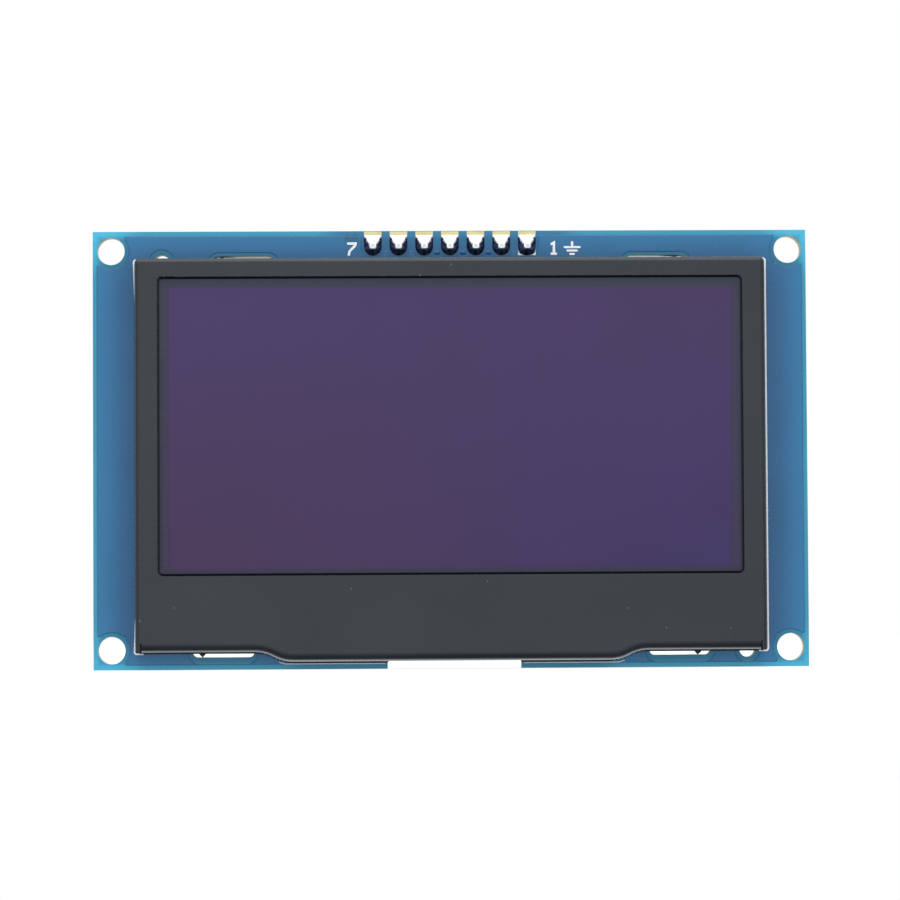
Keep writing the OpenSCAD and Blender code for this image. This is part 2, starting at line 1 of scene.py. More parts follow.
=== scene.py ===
"""Looks of a small OLED display module: a dark panel under a pressed bezel, on a blue circuit board.

Metres in Blender, millimetres in the named sizes. X points right as seen from the front, Y from front to
back, Z up to the header edge, and the board's front face lies at y = 0.
"""
import math
import random

import bmesh
import bpy
from mathutils import Matrix, Vector


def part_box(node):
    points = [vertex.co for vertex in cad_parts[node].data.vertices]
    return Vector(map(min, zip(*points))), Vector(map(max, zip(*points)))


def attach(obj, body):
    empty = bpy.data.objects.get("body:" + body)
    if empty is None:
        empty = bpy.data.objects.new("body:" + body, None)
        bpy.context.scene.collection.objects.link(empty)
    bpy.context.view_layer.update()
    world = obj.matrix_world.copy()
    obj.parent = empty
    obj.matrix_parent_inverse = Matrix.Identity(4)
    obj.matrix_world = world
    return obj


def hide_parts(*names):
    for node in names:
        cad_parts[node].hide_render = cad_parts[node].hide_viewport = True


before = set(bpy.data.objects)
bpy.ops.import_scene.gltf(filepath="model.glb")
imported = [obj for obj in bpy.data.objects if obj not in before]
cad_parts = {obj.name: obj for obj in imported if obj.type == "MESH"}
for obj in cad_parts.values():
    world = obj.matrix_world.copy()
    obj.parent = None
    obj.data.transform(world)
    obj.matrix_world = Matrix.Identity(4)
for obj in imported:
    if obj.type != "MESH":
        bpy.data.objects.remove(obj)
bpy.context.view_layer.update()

MM = 0.001
WHITE = (1.0, 1.0, 1.0, 1.0)
dice = random.Random(7)


def box_mm(node):
    """Lowest and highest corner of a CAD node, in millimetres."""
    low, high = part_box(node)
    return low / MM, high / MM


# ---- Sizes, in millimetres, read from the CAD parts or given ----------------

board_low, board_high = box_mm("board")
BOARD_HALF_W = board_high.x
BOARD_HALF_H = board_high.z
BOARD_T = board_high.y

active_low, active_high = box_mm("dot_matrix")
ACTIVE_X = (active_low.x + active_high.x) / 2
ACTIVE_Z = (active_low.z + active_high.z) / 2
ACTIVE_HALF_W = (active_high.x - active_low.x) / 2
ACTIVE_HALF_H = (active_high.z - active_low.z) / 2
COLUMNS = 128
ROWS = 64

# Openings of the board: bolt holes, tab slots, locating holes and the notch for the flex tail
MOUNT_X = 33.45
MOUNT_Z = 19.67
SLOT_HALF = (3.05, 0.55)
TOP_SLOT = (20.4, 18.59)
FOOT_SLOT = (22.5, -19.85)
LOCATORS = ((-28.45, 18.52), (29.15, -19.85))
NOTCH = (-6.35, 6.85)
NOTCH_TOP = -18.95

# How far the copper stops short of the board's edges and of its openings
POUR_INSET = (0.42, 0.5)
BOLT_BARE_R = 1.78
CORNER_BARE = 1.4
SLOT_BARE = 0.36
LOCATOR_BARE_R = 1.3
NOTCH_BARE = 0.3
PAD_BARE_R = 1.14

# Window of the bezel and the outline of its face
WINDOW_HALF = (28.65, 14.615)
WINDOW_MIDDLE = (ACTIVE_X, 2.245)
WINDOW_R = 0.5
FACE_AT = -3.2

# Header
PIN_COUNT = 7
PITCH = 2.54
pin_low, pin_high = box_mm("header_pin_1")
HEADER_Z = (pin_low.z + pin_high.z) / 2
PIN_HALF = (pin_high.x - pin_low.x) / 2
LAND_T = 0.04
LAND_R = 0.87
LAND_HEAD = 21.2 - HEADER_Z


# ---- Shader tools -----------------------------------------------------------

def paint(red, green, blue):
    """A colour chip's 0 to 255 values, as the linear colour that a shader takes."""
    def linear(value):
        share = value / 255
        return share / 12.92 if share <= 0.04045 else ((share + 0.055) / 1.055) ** 2.4
    return (linear(red), linear(green), linear(blue), 1.0)


class Sketch:
    """Adds nodes to one tree. An input is a plain value, or a socket to link."""

    def __init__(self, tree):
        self.tree = tree

    def feed(self, socket, value):
        if isinstance(value, bpy.types.NodeSocket):
            self.tree.links.new(value, socket)
        else:
            socket.default_value = value

    def add(self, kind, inputs=None, **settings):
        node = self.tree.nodes.new("ShaderNode" + kind)
        for name, value in settings.items():
            setattr(node, name, value)
        for name, value in (inputs or {}).items():
            self.feed(node.inputs[name], value)
        return node

    def maths(self, operation, *values):
        node = self.add("Math", operation=operation)
        for socket, value in zip(node.inputs, values):
            self.feed(socket, value)
        return node.outputs[0]

    def vector(self, operation, *values):
        node = self.add("VectorMath", operation=operation)
        for socket, value in zip(node.inputs, values):
            self.feed(socket, value)
        return node.outputs["Value" if operation in ("LENGTH", "DOT_PRODUCT") else "Vector"]

    def join(self, x, y, z):
        return self.add("CombineXYZ", {"X": x, "Y": y, "Z": z}).outputs[0]

    def split(self, vector):
        return self.add("SeparateXYZ", {"Vector": vector}).outputs

    def least(self, *values):
        """The smallest of several values."""
        least = values[0]
        for value in values[1:]:
            least = self.maths("MINIMUM", least, value)
        return least

    def fade(self, value, start, end, low=0.0, high=1.0):
        """Goes smoothly from low at start to high at end."""
        node = self.add("MapRange", {"Value": value, "From Min": start, "From Max": end,
                                     "To Min": low, "To Max": high}, interpolation_type="SMOOTHSTEP")
        return node.outputs["Result"]

    def mix(self, mask, below, above):
        """The colour below, covered by the colour above where mask is 1."""
        node = self.add("Mix", data_type="RGBA")
        self.feed(node.inputs[0], mask)
        self.feed(node.inputs[6], below)
        self.feed(node.inputs[7], above)
        return node.outputs[2]

    def blend(self, shade, dark, light, low=0.3, high=0.7):
        """From the dark colour chip to the light one, as the shade goes from low to high."""
        return self.mix(self.fade(shade, low, high), paint(*dark), paint(*light))

    def tint(self, colour, shade):
        """The colour, made lighter or darker by a shade of about 1."""
        grey = self.add("CombineColor", {"Red": shade, "Green": shade, "Blue": shade})
        node = self.add("Mix", data_type="RGBA", blend_type="MULTIPLY")
        node.inputs[0].default_value = 1.0
        self.feed(node.inputs[6], colour)
        self.feed(node.inputs[7], grey.outputs[0])
        return node.outputs[2]

    def noise(self, where, size, detail=2.0):
        """Noise from 0 to 1 whose lumps are about size millimetres wide."""
        node = self.add("TexNoise", {"Vector": where, "Scale": 1 / size, "Detail": detail})
        return node.outputs["Fac"]

    def bump(self, height, depth):
        """A normal from a height of 0 to 1 that is depth millimetres deep."""
        return self.add("Bump", {"Height": height, "Distance": depth * MM}).outputs["Normal"]

    def dress(self, shader, tone, roughness, normal, metallic=0.0):
        """Gives a Principled shader its looks."""
        for name, value in (("Base Color", tone), ("Roughness", roughness), ("Normal", normal),
                            ("Metallic", metallic)):
            self.feed(shader.inputs[name], value)

    def place(self, group, **inputs):
        """One of the shared groups, with its inputs by name."""
        node = self.add("Group")
        node.node_tree = group
        for name, value in inputs.items():
            self.feed(node.inputs[name], value)
        return node.outputs


def shader_group(name, takes, gives):
    """An empty node group: its sketch, its input sockets, and a call that links its outputs."""
    tree = bpy.data.node_groups.new(name, "ShaderNodeTree")
    for label, kind in takes.items():
        tree.interface.new_socket(label, in_out="INPUT", socket_type="NodeSocket" + kind)
    for label, kind in gives.items():
        tree.interface.new_socket(label, in_out="OUTPUT", socket_type="NodeSocket" + kind)
    entry = tree.nodes.new("NodeGroupInput")
    leave = tree.nodes.new("NodeGroupOutput")
    sketch = Sketch(tree)

    def give(**outputs):
        for label, socket in outputs.items():
            sketch.feed(leave.inputs[label], socket)
        return tree
    return sketch, entry.outputs, give


def outline_group():
    """Distance in millimetres from a rounded outline drawn in x and z, below zero inside it."""
    takes = {"Position": "Vector", "Middle": "Vector", "Half": "Vector", "Corner": "Float"}
    sketch, given, give = shader_group("outline_distance", takes, {"Distance": "Float"})
    corner = sketch.join(given["Corner"], 0.0, given["Corner"])
    offset = sketch.vector("ABSOLUTE", sketch.vector("SUBTRACT", given["Position"], given["Middle"]))
    beyond = sketch.vector("SUBTRACT", offset, sketch.vector("SUBTRACT", given["Half"], corner))
    across, _, up = sketch.split(beyond)
    outside = sketch.vector("LENGTH", sketch.join(sketch.maths("MAXIMUM", across, 0.0), 0.0,
                                                  sketch.maths("MAXIMUM", up, 0.0)))
    inside = sketch.maths("MINIMUM", sketch.maths("MAXIMUM", across, up), 0.0)
    reach = sketch.maths("ADD", outside, inside)
    return give(Distance=sketch.maths("SUBTRACT", reach, given["Corner"]))


def grain_group():
    """Unevenness of a surface: fine grain and a slow drift, both about 0.5."""
    takes = {"Position": "Vector", "Grain": "Float", "Drift": "Float"}
    sketch, given, give = shader_group("grain", takes, {"Fine": "Float", "Broad": "Float"})

    def noise(size, detail):
        scale = sketch.maths("DIVIDE", 1.0, size)
        return sketch.add("TexNoise", {"Vector": given["Position"], "Scale": scale,
                                       "Detail": detail}).outputs["Fac"]
    return give(Fine=noise(given["Grain"], 3.0), Broad=noise(given["Drift"], 2.0))


def dust_group():
    """Sparse round specks on faces seen from the front or the back."""
    takes = {"Position": "Vector", "Spacing": "Float", "Radius": "Float", "Share": "Float"}
    sketch, given, give = shader_group("dust_specks", takes, {"Mask": "Float"})
    x, _, z = sketch.split(given["Position"])
    flat = sketch.vector("DIVIDE", sketch.join(x, z, 0.0),
                         sketch.join(given["Spacing"], given["Spacing"], 1.0))
    cells = sketch.add("TexVoronoi", {"Vector": flat, "Scale": 1.0}, voronoi_dimensions="2D")
    chance = sketch.split(cells.outputs["Color"])[0]
    size = sketch.maths("DIVIDE", given["Radius"], given["Spacing"])
    spot = sketch.maths("LESS_THAN", cells.outputs["Distance"], size)
    chosen = sketch.maths("LESS_THAN", chance, given["Share"])
    return give(Mask=sketch.maths("MULTIPLY", spot, chosen))


OUTLINE = outline_group()
GRAIN = grain_group()
DUST = dust_group()


def material(name, grain, drift):
    """A new material, its sketch and shader, its places in millimetres, and its unevenness."""
    made = bpy.data.materials.new(name)
    made.use_nodes = True
    sketch = Sketch(made.node_tree)
    shader = made.node_tree.nodes["Principled BSDF"]
    where = sketch.vector("SCALE", sketch.add("TexCoord").outputs["Object"])
    where.node.inputs["Scale"].default_value = 1 / MM
    uneven = sketch.place(GRAIN, Position=where, Grain=grain, Drift=drift)
    return made, sketch, shader, where, uneven


def outline(sketch, where, middle, half, corner):
    """Distance from a rounded outline given by its middle, half sizes and corner radius."""
    return sketch.place(OUTLINE, Position=where, Middle=(middle[0], 0.0, middle[1]),
                        Half=(half[0], 0.0, half[1]), Corner=corner)["Distance"]


# ---- Finishes ---------------------------------------------------------------

GLOSS_SPREAD = 0.1


def grained(name, dark, light, roughness, grain=0.15, drift=2.0, depth=0.004, metallic=0.0):
    """A finish whose colour drifts between two tones, with fine grain in its gloss and relief."""
    made, sketch, shader, where, uneven = material(name, grain, drift)
    gloss = sketch.fade(uneven["Fine"], 0.3, 0.7, roughness - GLOSS_SPREAD / 2, roughness + GLOSS_SPREAD / 2)
    sketch.dress(shader, sketch.blend(uneven["Broad"], dark, light), gloss,
                 sketch.bump(uneven["Fine"], depth), metallic)
    return made


def from_pins(sketch, x, shift=0.0):
    """Distance along x from the nearest pin, as if the row had no end; a shift moves the whole row."""
    return sketch.maths("PINGPONG", sketch.maths("ADD", x, 50 * PITCH + shift), PITCH / 2)


def copper_edge(sketch, where):
    """Distance from the edge of the copper pour, below zero on copper."""
    x, _, z = sketch.split(where)
    folded = sketch.join(sketch.maths("ABSOLUTE", x), 0.0, sketch.maths("ABSOLUTE", z))
    mirrored = sketch.join(sketch.maths("ABSOLUTE", x), 0.0, z)
    pour_half = (BOARD_HALF_W - POUR_INSET[0], BOARD_HALF_H - POUR_INSET[1])
    board = outline(sketch, where, (0, 0), pour_half, 0.1)
    corner_half = (BOARD_HALF_W - MOUNT_X + CORNER_BARE) / 2
    corner_shift = corner_half - CORNER_BARE
    corner = outline(sketch, folded, (MOUNT_X + corner_shift, MOUNT_Z + corner_shift),
                     (corner_half, corner_half), 0.05)
    bolt = outline(sketch, folded, (MOUNT_X, MOUNT_Z), (BOLT_BARE_R, BOLT_BARE_R), BOLT_BARE_R)
    slot_half = (SLOT_HALF[0] + SLOT_BARE, SLOT_HALF[1] + SLOT_BARE)
    top_slot = outline(sketch, mirrored, TOP_SLOT, slot_half, slot_half[1])
    foot_half = (slot_half[0], slot_half[1] + 0.2)
    foot_slot = outline(sketch, mirrored, (FOOT_SLOT[0], FOOT_SLOT[1] - 0.15), foot_half, foot_half[1])
    locators = [outline(sketch, where, spot, (LOCATOR_BARE_R, LOCATOR_BARE_R), LOCATOR_BARE_R)
                for spot in LOCATORS]
    notch_half = (NOTCH[1] - NOTCH[0]) / 2 + NOTCH_BARE
    notch_z = (NOTCH_TOP - BOARD_HALF_H) / 2
    notch = outline(sketch, where, (sum(NOTCH) / 2, notch_z - 1),
                    (notch_half, NOTCH_TOP - notch_z + 1 + NOTCH_BARE), 0.6)
    row_half = PITCH * PIN_COUNT / 2
    pad = outline(sketch, sketch.join(from_pins(sketch, x), 0.0, z), (0, HEADER_Z + 1),
                  (PAD_BARE_R, PAD_BARE_R + 1), 1.1)
    past_row = sketch.maths("SUBTRACT", sketch.maths("ABSOLUTE", x), row_half)
    between = outline(sketch, where, (0, HEADER_Z + 1.5), (row_half - 0.3, 1.95), 0.3)
    pads = sketch.least(sketch.maths("MAXIMUM", pad, past_row), between)
    opening = sketch.least(corner, bolt, top_slot, foot_slot, *locators, notch, pads)
    return sketch.maths("MAXIMUM", board, sketch.maths("MULTIPLY", opening, -1.0))


def bare_tone_painted_light(sketch, x, z, sides):
    """Mask over bare laminate: deep inside, with a painted glow of light through the laminate along the
    board's edges and corners, painted shade below the bezel's bulge and by the header, and a lighter painted
    tone at the foot.
    """
    off_middle = sketch.maths("ABSOLUTE", x)
    across = sketch.maths("SUBTRACT", off_middle, BOARD_HALF_W)
    up = sketch.maths("SUBTRACT", sketch.maths("ABSOLUTE", z), BOARD_HALF_H)
    at_head = sketch.maths("GREATER_THAN", z, 0.0)
    at_foot = sketch.maths("LESS_THAN", z, 0.0)
    # Painted shade: the painted glow is weaker below the bezel's bulge and by the header.
    bulge_shade = sketch.maths("MULTIPLY", sketch.fade(off_middle, 14.0, 17.5, 1.0, 0.0), at_foot)
    header_shade = sketch.maths("MULTIPLY", sketch.fade(off_middle, 10.5, 13.5, 1.0, 0.0), at_head)
    level = sketch.fade(up, -1.2, -0.8, 0.36, 0.52)
    level = sketch.maths("SUBTRACT", level, sketch.maths("MULTIPLY", bulge_shade, 0.35))
    level = sketch.maths("SUBTRACT", level, sketch.maths("MULTIPLY", header_shade, 0.34))
    # Painted glow of light through the laminate, along the board's edges and in its corners.
    edge_glow = sketch.maths("MULTIPLY", sketch.fade(sides, -0.9, -0.2), level)
    corner = sketch.fade(sketch.maths("ADD", across, up), -5.5, -1.5)
    corner_glow = sketch.maths("MULTIPLY", corner, sketch.fade(z, -1.0, 1.0, 0.3, 0.5))
    # Painted shade gives a slightly darker deep tone by the header; a lighter painted tone at the foot makes
    # up for the shade under the bezel.
    deep = sketch.mix(sketch.maths("MULTIPLY", header_shade, 0.8), paint(27, 112, 146), paint(40, 102, 150))
    deep = sketch.mix(at_foot, deep, paint(29, 121, 157))
    return sketch.mix(sketch.maths("ADD", edge_glow, corner_glow), deep, paint(70, 184, 220))


def header_marks(sketch, where, flat):
    """On the front, a flux stain left of pin 7 and blue smears between pads: the tone, and the smears."""
    x, y, z = sketch.split(where)
    in_front = sketch.maths("LESS_THAN", y, 0.2)
    ragged = sketch.maths("MULTIPLY", sketch.maths("SUBTRACT", sketch.noise(where, 0.5, 3.0), 0.5), 1.6)
    stain = outline(sketch, where, (-9.65, 20.75), (0.75, 0.42), 0.4)
    stained = sketch.fade(sketch.maths("ADD", stain, ragged), -0.15, 0.2, 0.55, 0.0)
    flat = sketch.mix(sketch.maths("MULTIPLY", stained, in_front), flat, paint(34, 84, 108))
    between = sketch.join(from_pins(sketch, x, PITCH / 2), 0.0, z)
    dash = outline(sketch, between, (0, HEADER_Z - 0.72), (0.26, 0.1), 0.06)
    off_dashes = sketch.maths("ABSOLUTE", sketch.maths("SUBTRACT", x, PITCH / 2))
    in_row = sketch.least(sketch.maths("LESS_THAN", off_dashes, 1.4 * PITCH), in_front)
    smeared = sketch.maths("MULTIPLY", sketch.fade(dash, -0.02, 0.06, 0.8, 0.0), in_row)
    return sketch.mix(smeared, flat, paint(6, 48, 98)), smeared


def board_mask():
    """Glossy blue mask over copper and laminate with a painted glow near the board's edges, and the board's
    sawn edges with their plies.
    """
    made, sketch, shader, where, uneven = material("board_mask", 0.12, 9.0)
    x, y, z = sketch.split(where)
    beyond = copper_edge(sketch, where)
    on_copper = sketch.fade(beyond, -0.04, 0.04, 1.0, 0.0)
    rim = sketch.fade(sketch.maths("ABSOLUTE", beyond), 0.03, 0.09, 1.0, 0.0)
    sides = outline(sketch, where, (0, 0), (BOARD_HALF_W, BOARD_HALF_H), 0.05)
    covered = sketch.blend(uneven["Broad"], (34, 96, 143), (37, 101, 149), 0.35, 0.65)
    # Painted glow: the covered copper is lighter towards the board's edges, as if lit through the laminate.
    edge_glow_on_copper = sketch.maths("MULTIPLY", sketch.fade(sides, -3.2, -0.3), 0.7)
    covered = sketch.mix(edge_glow_on_copper, covered, paint(42, 123, 172))
    flat = sketch.mix(on_copper, bare_tone_painted_light(sketch, x, z, sides), covered)
    flat, smeared = header_marks(sketch, where, flat)
    flat = sketch.mix(sketch.maths("MULTIPLY", rim, 0.32), flat, paint(12, 70, 106))

    facing = sketch.maths("ABSOLUTE", sketch.split(sketch.add("NewGeometry").outputs["True Normal"])[1])
    cut = sketch.maths("LESS_THAN", facing, 0.5)
    plies = sketch.noise(sketch.vector("MULTIPLY", where, (1.2, 9.0, 1.2)), 1.0, 4.0)
    laminate = sketch.blend(plies, (185, 180, 148), (202, 199, 176), 0.35, 0.65)
    off_centre = sketch.maths("ABSOLUTE", sketch.maths("SUBTRACT", y, BOARD_T / 2))
    ink_side = sketch.fade(off_centre, BOARD_T / 2 - 0.12, BOARD_T / 2 - 0.04)
    laminate = sketch.mix(ink_side, laminate, paint(56, 104, 128))

    gloss = sketch.fade(uneven["Fine"], 0.3, 0.7, 0.24, 0.34)
    rough = sketch.add("Mix", {0: cut, 2: gloss, 3: 0.75}, data_type="FLOAT").outputs[0]
    step = sketch.maths("ADD", on_copper, sketch.maths("MULTIPLY", uneven["Fine"], 0.04))
    relief = sketch.maths("ADD", step, sketch.maths("MULTIPLY", plies, cut))
    sketch.dress(shader, sketch.mix(cut, flat, laminate), rough, sketch.bump(relief, 0.03), smeared)
    return made


def bezel_paint():
    """Satin dark grey paint with dust on the face, painted shade black along the window's ragged punched
    edge, and painted shade black on the tabs where they pass through the board.
    """
    made, sketch, shader, where, uneven = material("bezel_paint", 0.09, 12.0)
    x, y, z = sketch.split(where)
    tone = sketch.blend(uneven["Broad"], (32, 40, 46), (37, 44, 51))

    # The window's punched edge: ragged burrs, stronger at the upper left corner, under a black painted shadow
    # of the gap behind the edge.
    burr = sketch.maths("SUBTRACT", sketch.noise(where, 0.25, 3.0), 0.5)
    at_corner = sketch.maths("MULTIPLY", sketch.fade(x, -28.0, -25.5, 1.0, 0.0), sketch.fade(z, 12.0, 15.5))
    burr_level = sketch.maths("ADD", 0.08, sketch.maths("MULTIPLY", at_corner, 0.4))
    window = outline(sketch, where, WINDOW_MIDDLE, WINDOW_HALF, WINDOW_R)
    ragged = sketch.maths("ADD", window, sketch.maths("MULTIPLY", burr, burr_level))
    edge = sketch.fade(ragged, 0.0, 0.04, 0.9, 0.0)

    # Painted shade: the tabs inside the board's slots and just behind them are near black and fully rough.
    tab_end = BOARD_T + 1.4
    on_tab = sketch.maths("MULTIPLY", sketch.maths("GREATER_THAN", y, 0.05),
                          sketch.maths("LESS_THAN", y, tab_end))
    tab_shade_level = sketch.fade(y, BOARD_T, BOARD_T + 0.1, 0.9, 0.6)
    # Both painted shades are black, with metallic set so that they reflect almost nothing.
    unlit = sketch.maths("MAXIMUM", edge, sketch.maths("MULTIPLY", on_tab, tab_shade_level))
    tone = sketch.mix(unlit, tone, paint(7, 7, 8))

    ahead = sketch.maths("LESS_THAN", y, FACE_AT + 0.05)
    specks = sketch.place(DUST, Position=where, Spacing=3.4, Radius=0.06, Share=0.16)["Mask"]
    dusty = sketch.maths("MULTIPLY", sketch.maths("MULTIPLY", specks, ahead), 0.6)
    tone = sketch.mix(dusty, tone, paint(150, 154, 156))
    chips = sketch.maths("MULTIPLY", sketch.maths("GREATER_THAN", y, tab_end),
                         sketch.fade(sketch.noise(where, 0.35), 0.55, 0.62))
    gloss = sketch.fade(uneven["Fine"], 0.3, 0.7, 0.24, 0.3)
    sketch.dress(shader, sketch.mix(chips, tone, paint(176, 164, 128)),
                 sketch.maths("MAXIMUM", gloss, on_tab),
                 sketch.bump(uneven["Fine"], 0.0015), sketch.maths("MAXIMUM", chips, unlit))
    return made


def dot_tone(sketch, x, z, up, drift):
    """The unlit dot matrix: a violet that turns warmer to the lower left, with thin gaps between the dots."""
    across = sketch.fade(x, -ACTIVE_HALF_W, ACTIVE_HALF_W)
    top = sketch.mix(across, paint(61, 43, 94), paint(60, 40, 89))
    foot = sketch.mix(across, paint(60, 37, 79), paint(51, 35, 89))
    dots = sketch.tint(sketch.mix(up, foot, top), sketch.fade(drift, 0.3, 0.7, 0.96, 1.04))

    def gap(value, low, count, span):
        """1 on the thin gaps between dots along one direction."""
        cell = sketch.maths("MULTIPLY", sketch.maths("SUBTRACT", value, low), count / span)
        return sketch.fade(sketch.maths("PINGPONG", cell, 0.5), 0.03, 0.12, 1.0, 0.0)
    gaps = sketch.maths("MAXIMUM", gap(x, active_low.x, COLUMNS, 2 * ACTIVE_HALF_W),
                        gap(z, active_low.z, ROWS, 2 * ACTIVE_HALF_H))
    return sketch.mix(sketch.maths("MULTIPLY", gaps, 0.15), dots, paint(50, 35, 73))


def border_tone(sketch, z, up, active, off_middle):
    """The dark border round the dots, with the ends of the row tracks at both sides and a faint halo."""
    beside = sketch.maths("SUBTRACT", off_middle, ACTIVE_HALF_W)
    off_height = sketch.maths("ABSOLUTE", sketch.maths("SUBTRACT", z, ACTIVE_Z))
    in_rows = sketch.fade(sketch.maths("SUBTRACT", off_height, ACTIVE_HALF_H), -0.02, 0.1, 1.0, 0.0)
    column = sketch.maths("MULTIPLY", sketch.fade(beside, 0.08, 0.16),
                          sketch.fade(beside, 0.62, 0.72, 1.0, 0.0))
    column = sketch.maths("MULTIPLY", in_rows, column)
    row_pitch = 4 * ACTIVE_HALF_H / ROWS
    above_row = sketch.maths("SUBTRACT", z, active_low.z - row_pitch / 2)
    from_row = sketch.maths("PINGPONG", above_row, row_pitch / 2)
    spot = sketch.vector("LENGTH", sketch.join(sketch.maths("SUBTRACT", beside, 0.42), 0.0, from_row))
    spots = sketch.maths("MULTIPLY", sketch.fade(spot, 0.1, 0.2, 1.0, 0.0), column)
    tone = sketch.mix(up, paint(40, 39, 65), paint(43, 48, 66))
    tone = sketch.mix(sketch.maths("MULTIPLY", column, 0.8), tone, paint(51, 43, 70))
    tone = sketch.mix(sketch.maths("MULTIPLY", spots, 0.8), tone, paint(58, 43, 96))
    halo = sketch.fade(sketch.maths("ABSOLUTE", sketch.maths("SUBTRACT", active, 0.1)), 0.0, 0.12, 1.0, 0.0)
    return sketch.mix(sketch.maths("MULTIPLY", halo, 0.5), tone, paint(60, 40, 68))


def polarizer_film():
    """Glossy dark film that shows the dot matrix and its border, with a black painted shadow under the
    window's edge.
    """
    made, sketch, shader, where, uneven = material("polarizer_film", 0.4, 14.0)
    x, _, z = sketch.split(where)
    up = sketch.fade(z, active_low.z, active_high.z)
    active = outline(sketch, where, (ACTIVE_X, ACTIVE_Z), (ACTIVE_HALF_W, ACTIVE_HALF_H), 0.02)
    off_middle = sketch.maths("ABSOLUTE", sketch.maths("SUBTRACT", x, ACTIVE_X))
    border = border_tone(sketch, z, up, active, off_middle)
    dots = dot_tone(sketch, x, z, up, uneven["Broad"])
    tone = sketch.mix(sketch.fade(active, -0.03, 0.03, 1.0, 0.0), border, dots)
    window = outline(sketch, where, WINDOW_MIDDLE, WINDOW_HALF, WINDOW_R)
    # Painted shadow of the bezel's edge: a black band on the film inside the window, weaker at the sides,
    # with metallic set so that it reflects almost nothing.
    shade_level = sketch.fade(off_middle, WINDOW_HALF[0] - 0.4, WINDOW_HALF[0] - 0.2, 0.92, 0.6)
    shaded = sketch.maths("MULTIPLY", sketch.fade(window, -0.24, -0.16), shade_level)
    sketch.dress(shader, sketch.mix(shaded, tone, paint(2, 2, 3)),
                 sketch.fade(uneven["Fine"], 0.3, 0.7, 0.1, 0.14),
                 sketch.bump(uneven["Broad"], 0.01), shaded)
    shader.inputs["Specular IOR Level"].default_value = 0.4
    return made


def panel_glass():
    """Clear glass, a little green in its thickness."""
    made, sketch, shader, where, uneven = material("panel_glass", 0.8, 10.0)
    tone = sketch.mix(uneven["Broad"], paint(214, 228, 222), paint(226, 236, 232))
    sketch.feed(shader.inputs["Base Color"], tone)
    sketch.feed(shader.inputs["Roughness"], sketch.fade(uneven["Fine"], 0.3, 0.7, 0.02, 0.05))
    shader.inputs["Transmission Weight"].default_value = 1.0
    shader.inputs["IOR"].default_value = 1.5
    return made


def solder():
    """Bright solder on the top of each joint, with a painted dark navy reflection of the shaded board below
    and beside the pin on the front joints.
    """
    made, sketch, shader, where, uneven = material("solder", 0.18, 0.9)
    x, y, z = sketch.split(where)
    bright = sketch.blend(uneven["Broad"], (226, 228, 232), (242, 243, 245), 0.35, 0.65)

    # Painted dark reflection and shade: low on the front joints and beside the pin, the solder takes the navy
    # of the shaded board.
    ripple = sketch.noise(where, 0.22, 3.0)
    low = sketch.fade(z, HEADER_Z - 0.25, HEADER_Z + 0.25, 1.0, 0.0)
    ragged = sketch.maths("MULTIPLY", sketch.maths("SUBTRACT", ripple, 0.5), 0.35)
    bright_half = sketch.fade(z, HEADER_Z + 0.1, HEADER_Z + 0.6, 0.32, 0.62)
    beside_pin = sketch.maths("SUBTRACT", from_pins(sketch, x), bright_half)
    flank_shade = sketch.maths("MULTIPLY", sketch.fade(sketch.maths("ADD", beside_pin, ragged), -0.02, 0.08),
                         sketch.fade(z, HEADER_Z + 0.75, HEADER_Z + 1.1, 1.0, 0.0))
    patchy = sketch.fade(ripple, 0.4, 0.6)
    # The painted dark reflection's colours: patchy navy, darker low on the joint.
    flux = sketch.mix(low, sketch.mix(patchy, paint(20, 28, 58), paint(62, 76, 112)),
                      sketch.mix(patchy, paint(60, 68, 98), paint(96, 108, 146)))
    on_cone = sketch.least(sketch.fade(y, -0.75, -0.6), sketch.maths("LESS_THAN", y, 0.0),
                           sketch.maths("GREATER_THAN", z, HEADER_Z - 2))
    painted_reflection_mask = sketch.maths("MULTIPLY", sketch.maths("MAXIMUM", low, flank_shade), on_cone)
    sketch.dress(shader, sketch.mix(painted_reflection_mask, bright, flux),
                 sketch.fade(uneven["Fine"], 0.35, 0.75, 0.16, 0.3),
                 sketch.bump(uneven["Fine"], 0.003), 1.0)
    return made


def bare_lands():
    """Bare lands: dull pale gold above the joints, and wetted with solder below them."""
    made, sketch, shader, where, uneven = material("bare_lands", 0.1, 2.0)
    gold = sketch.blend(uneven["Broad"], (216, 206, 140), (232, 224, 172))
    z = sketch.split(where)[2]
    wetted = sketch.fade(z, HEADER_Z, HEADER_Z + 0.5, 1.0, 0.0)
    sketch.dress(shader, sketch.mix(wetted, gold, paint(244, 245, 247)),
                 sketch.fade(uneven["Fine"], 0.3, 0.7, 0.35, 0.45),
                 sketch.bump(uneven["Fine"], 0.004), 0.3)
    return made


def gilt_pin():
    """Thin gold on square pins, wetted with solder at the front tips."""
    made, sketch, shader, where, uneven = material("gilt_pin", 0.1, 1.4)
    y = sketch.split(where)[1]
    gold = sketch.blend(uneven["Broad"], (212, 180, 112), (232, 204, 140))
    wetted = sketch.fade(sketch.maths("ADD", y, uneven["Broad"]), 0.2, 0.6, 1.0, 0.0)
    sketch.dress(shader, sketch.mix(wetted, gold, paint(222, 223, 226)),
                 sketch.fade(uneven["Fine"], 0.3, 0.7, 0.2, 0.32),
                 sketch.bump(uneven["Fine"], 0.002), 1.0)
    return made


TRACK_STEP = 0.25


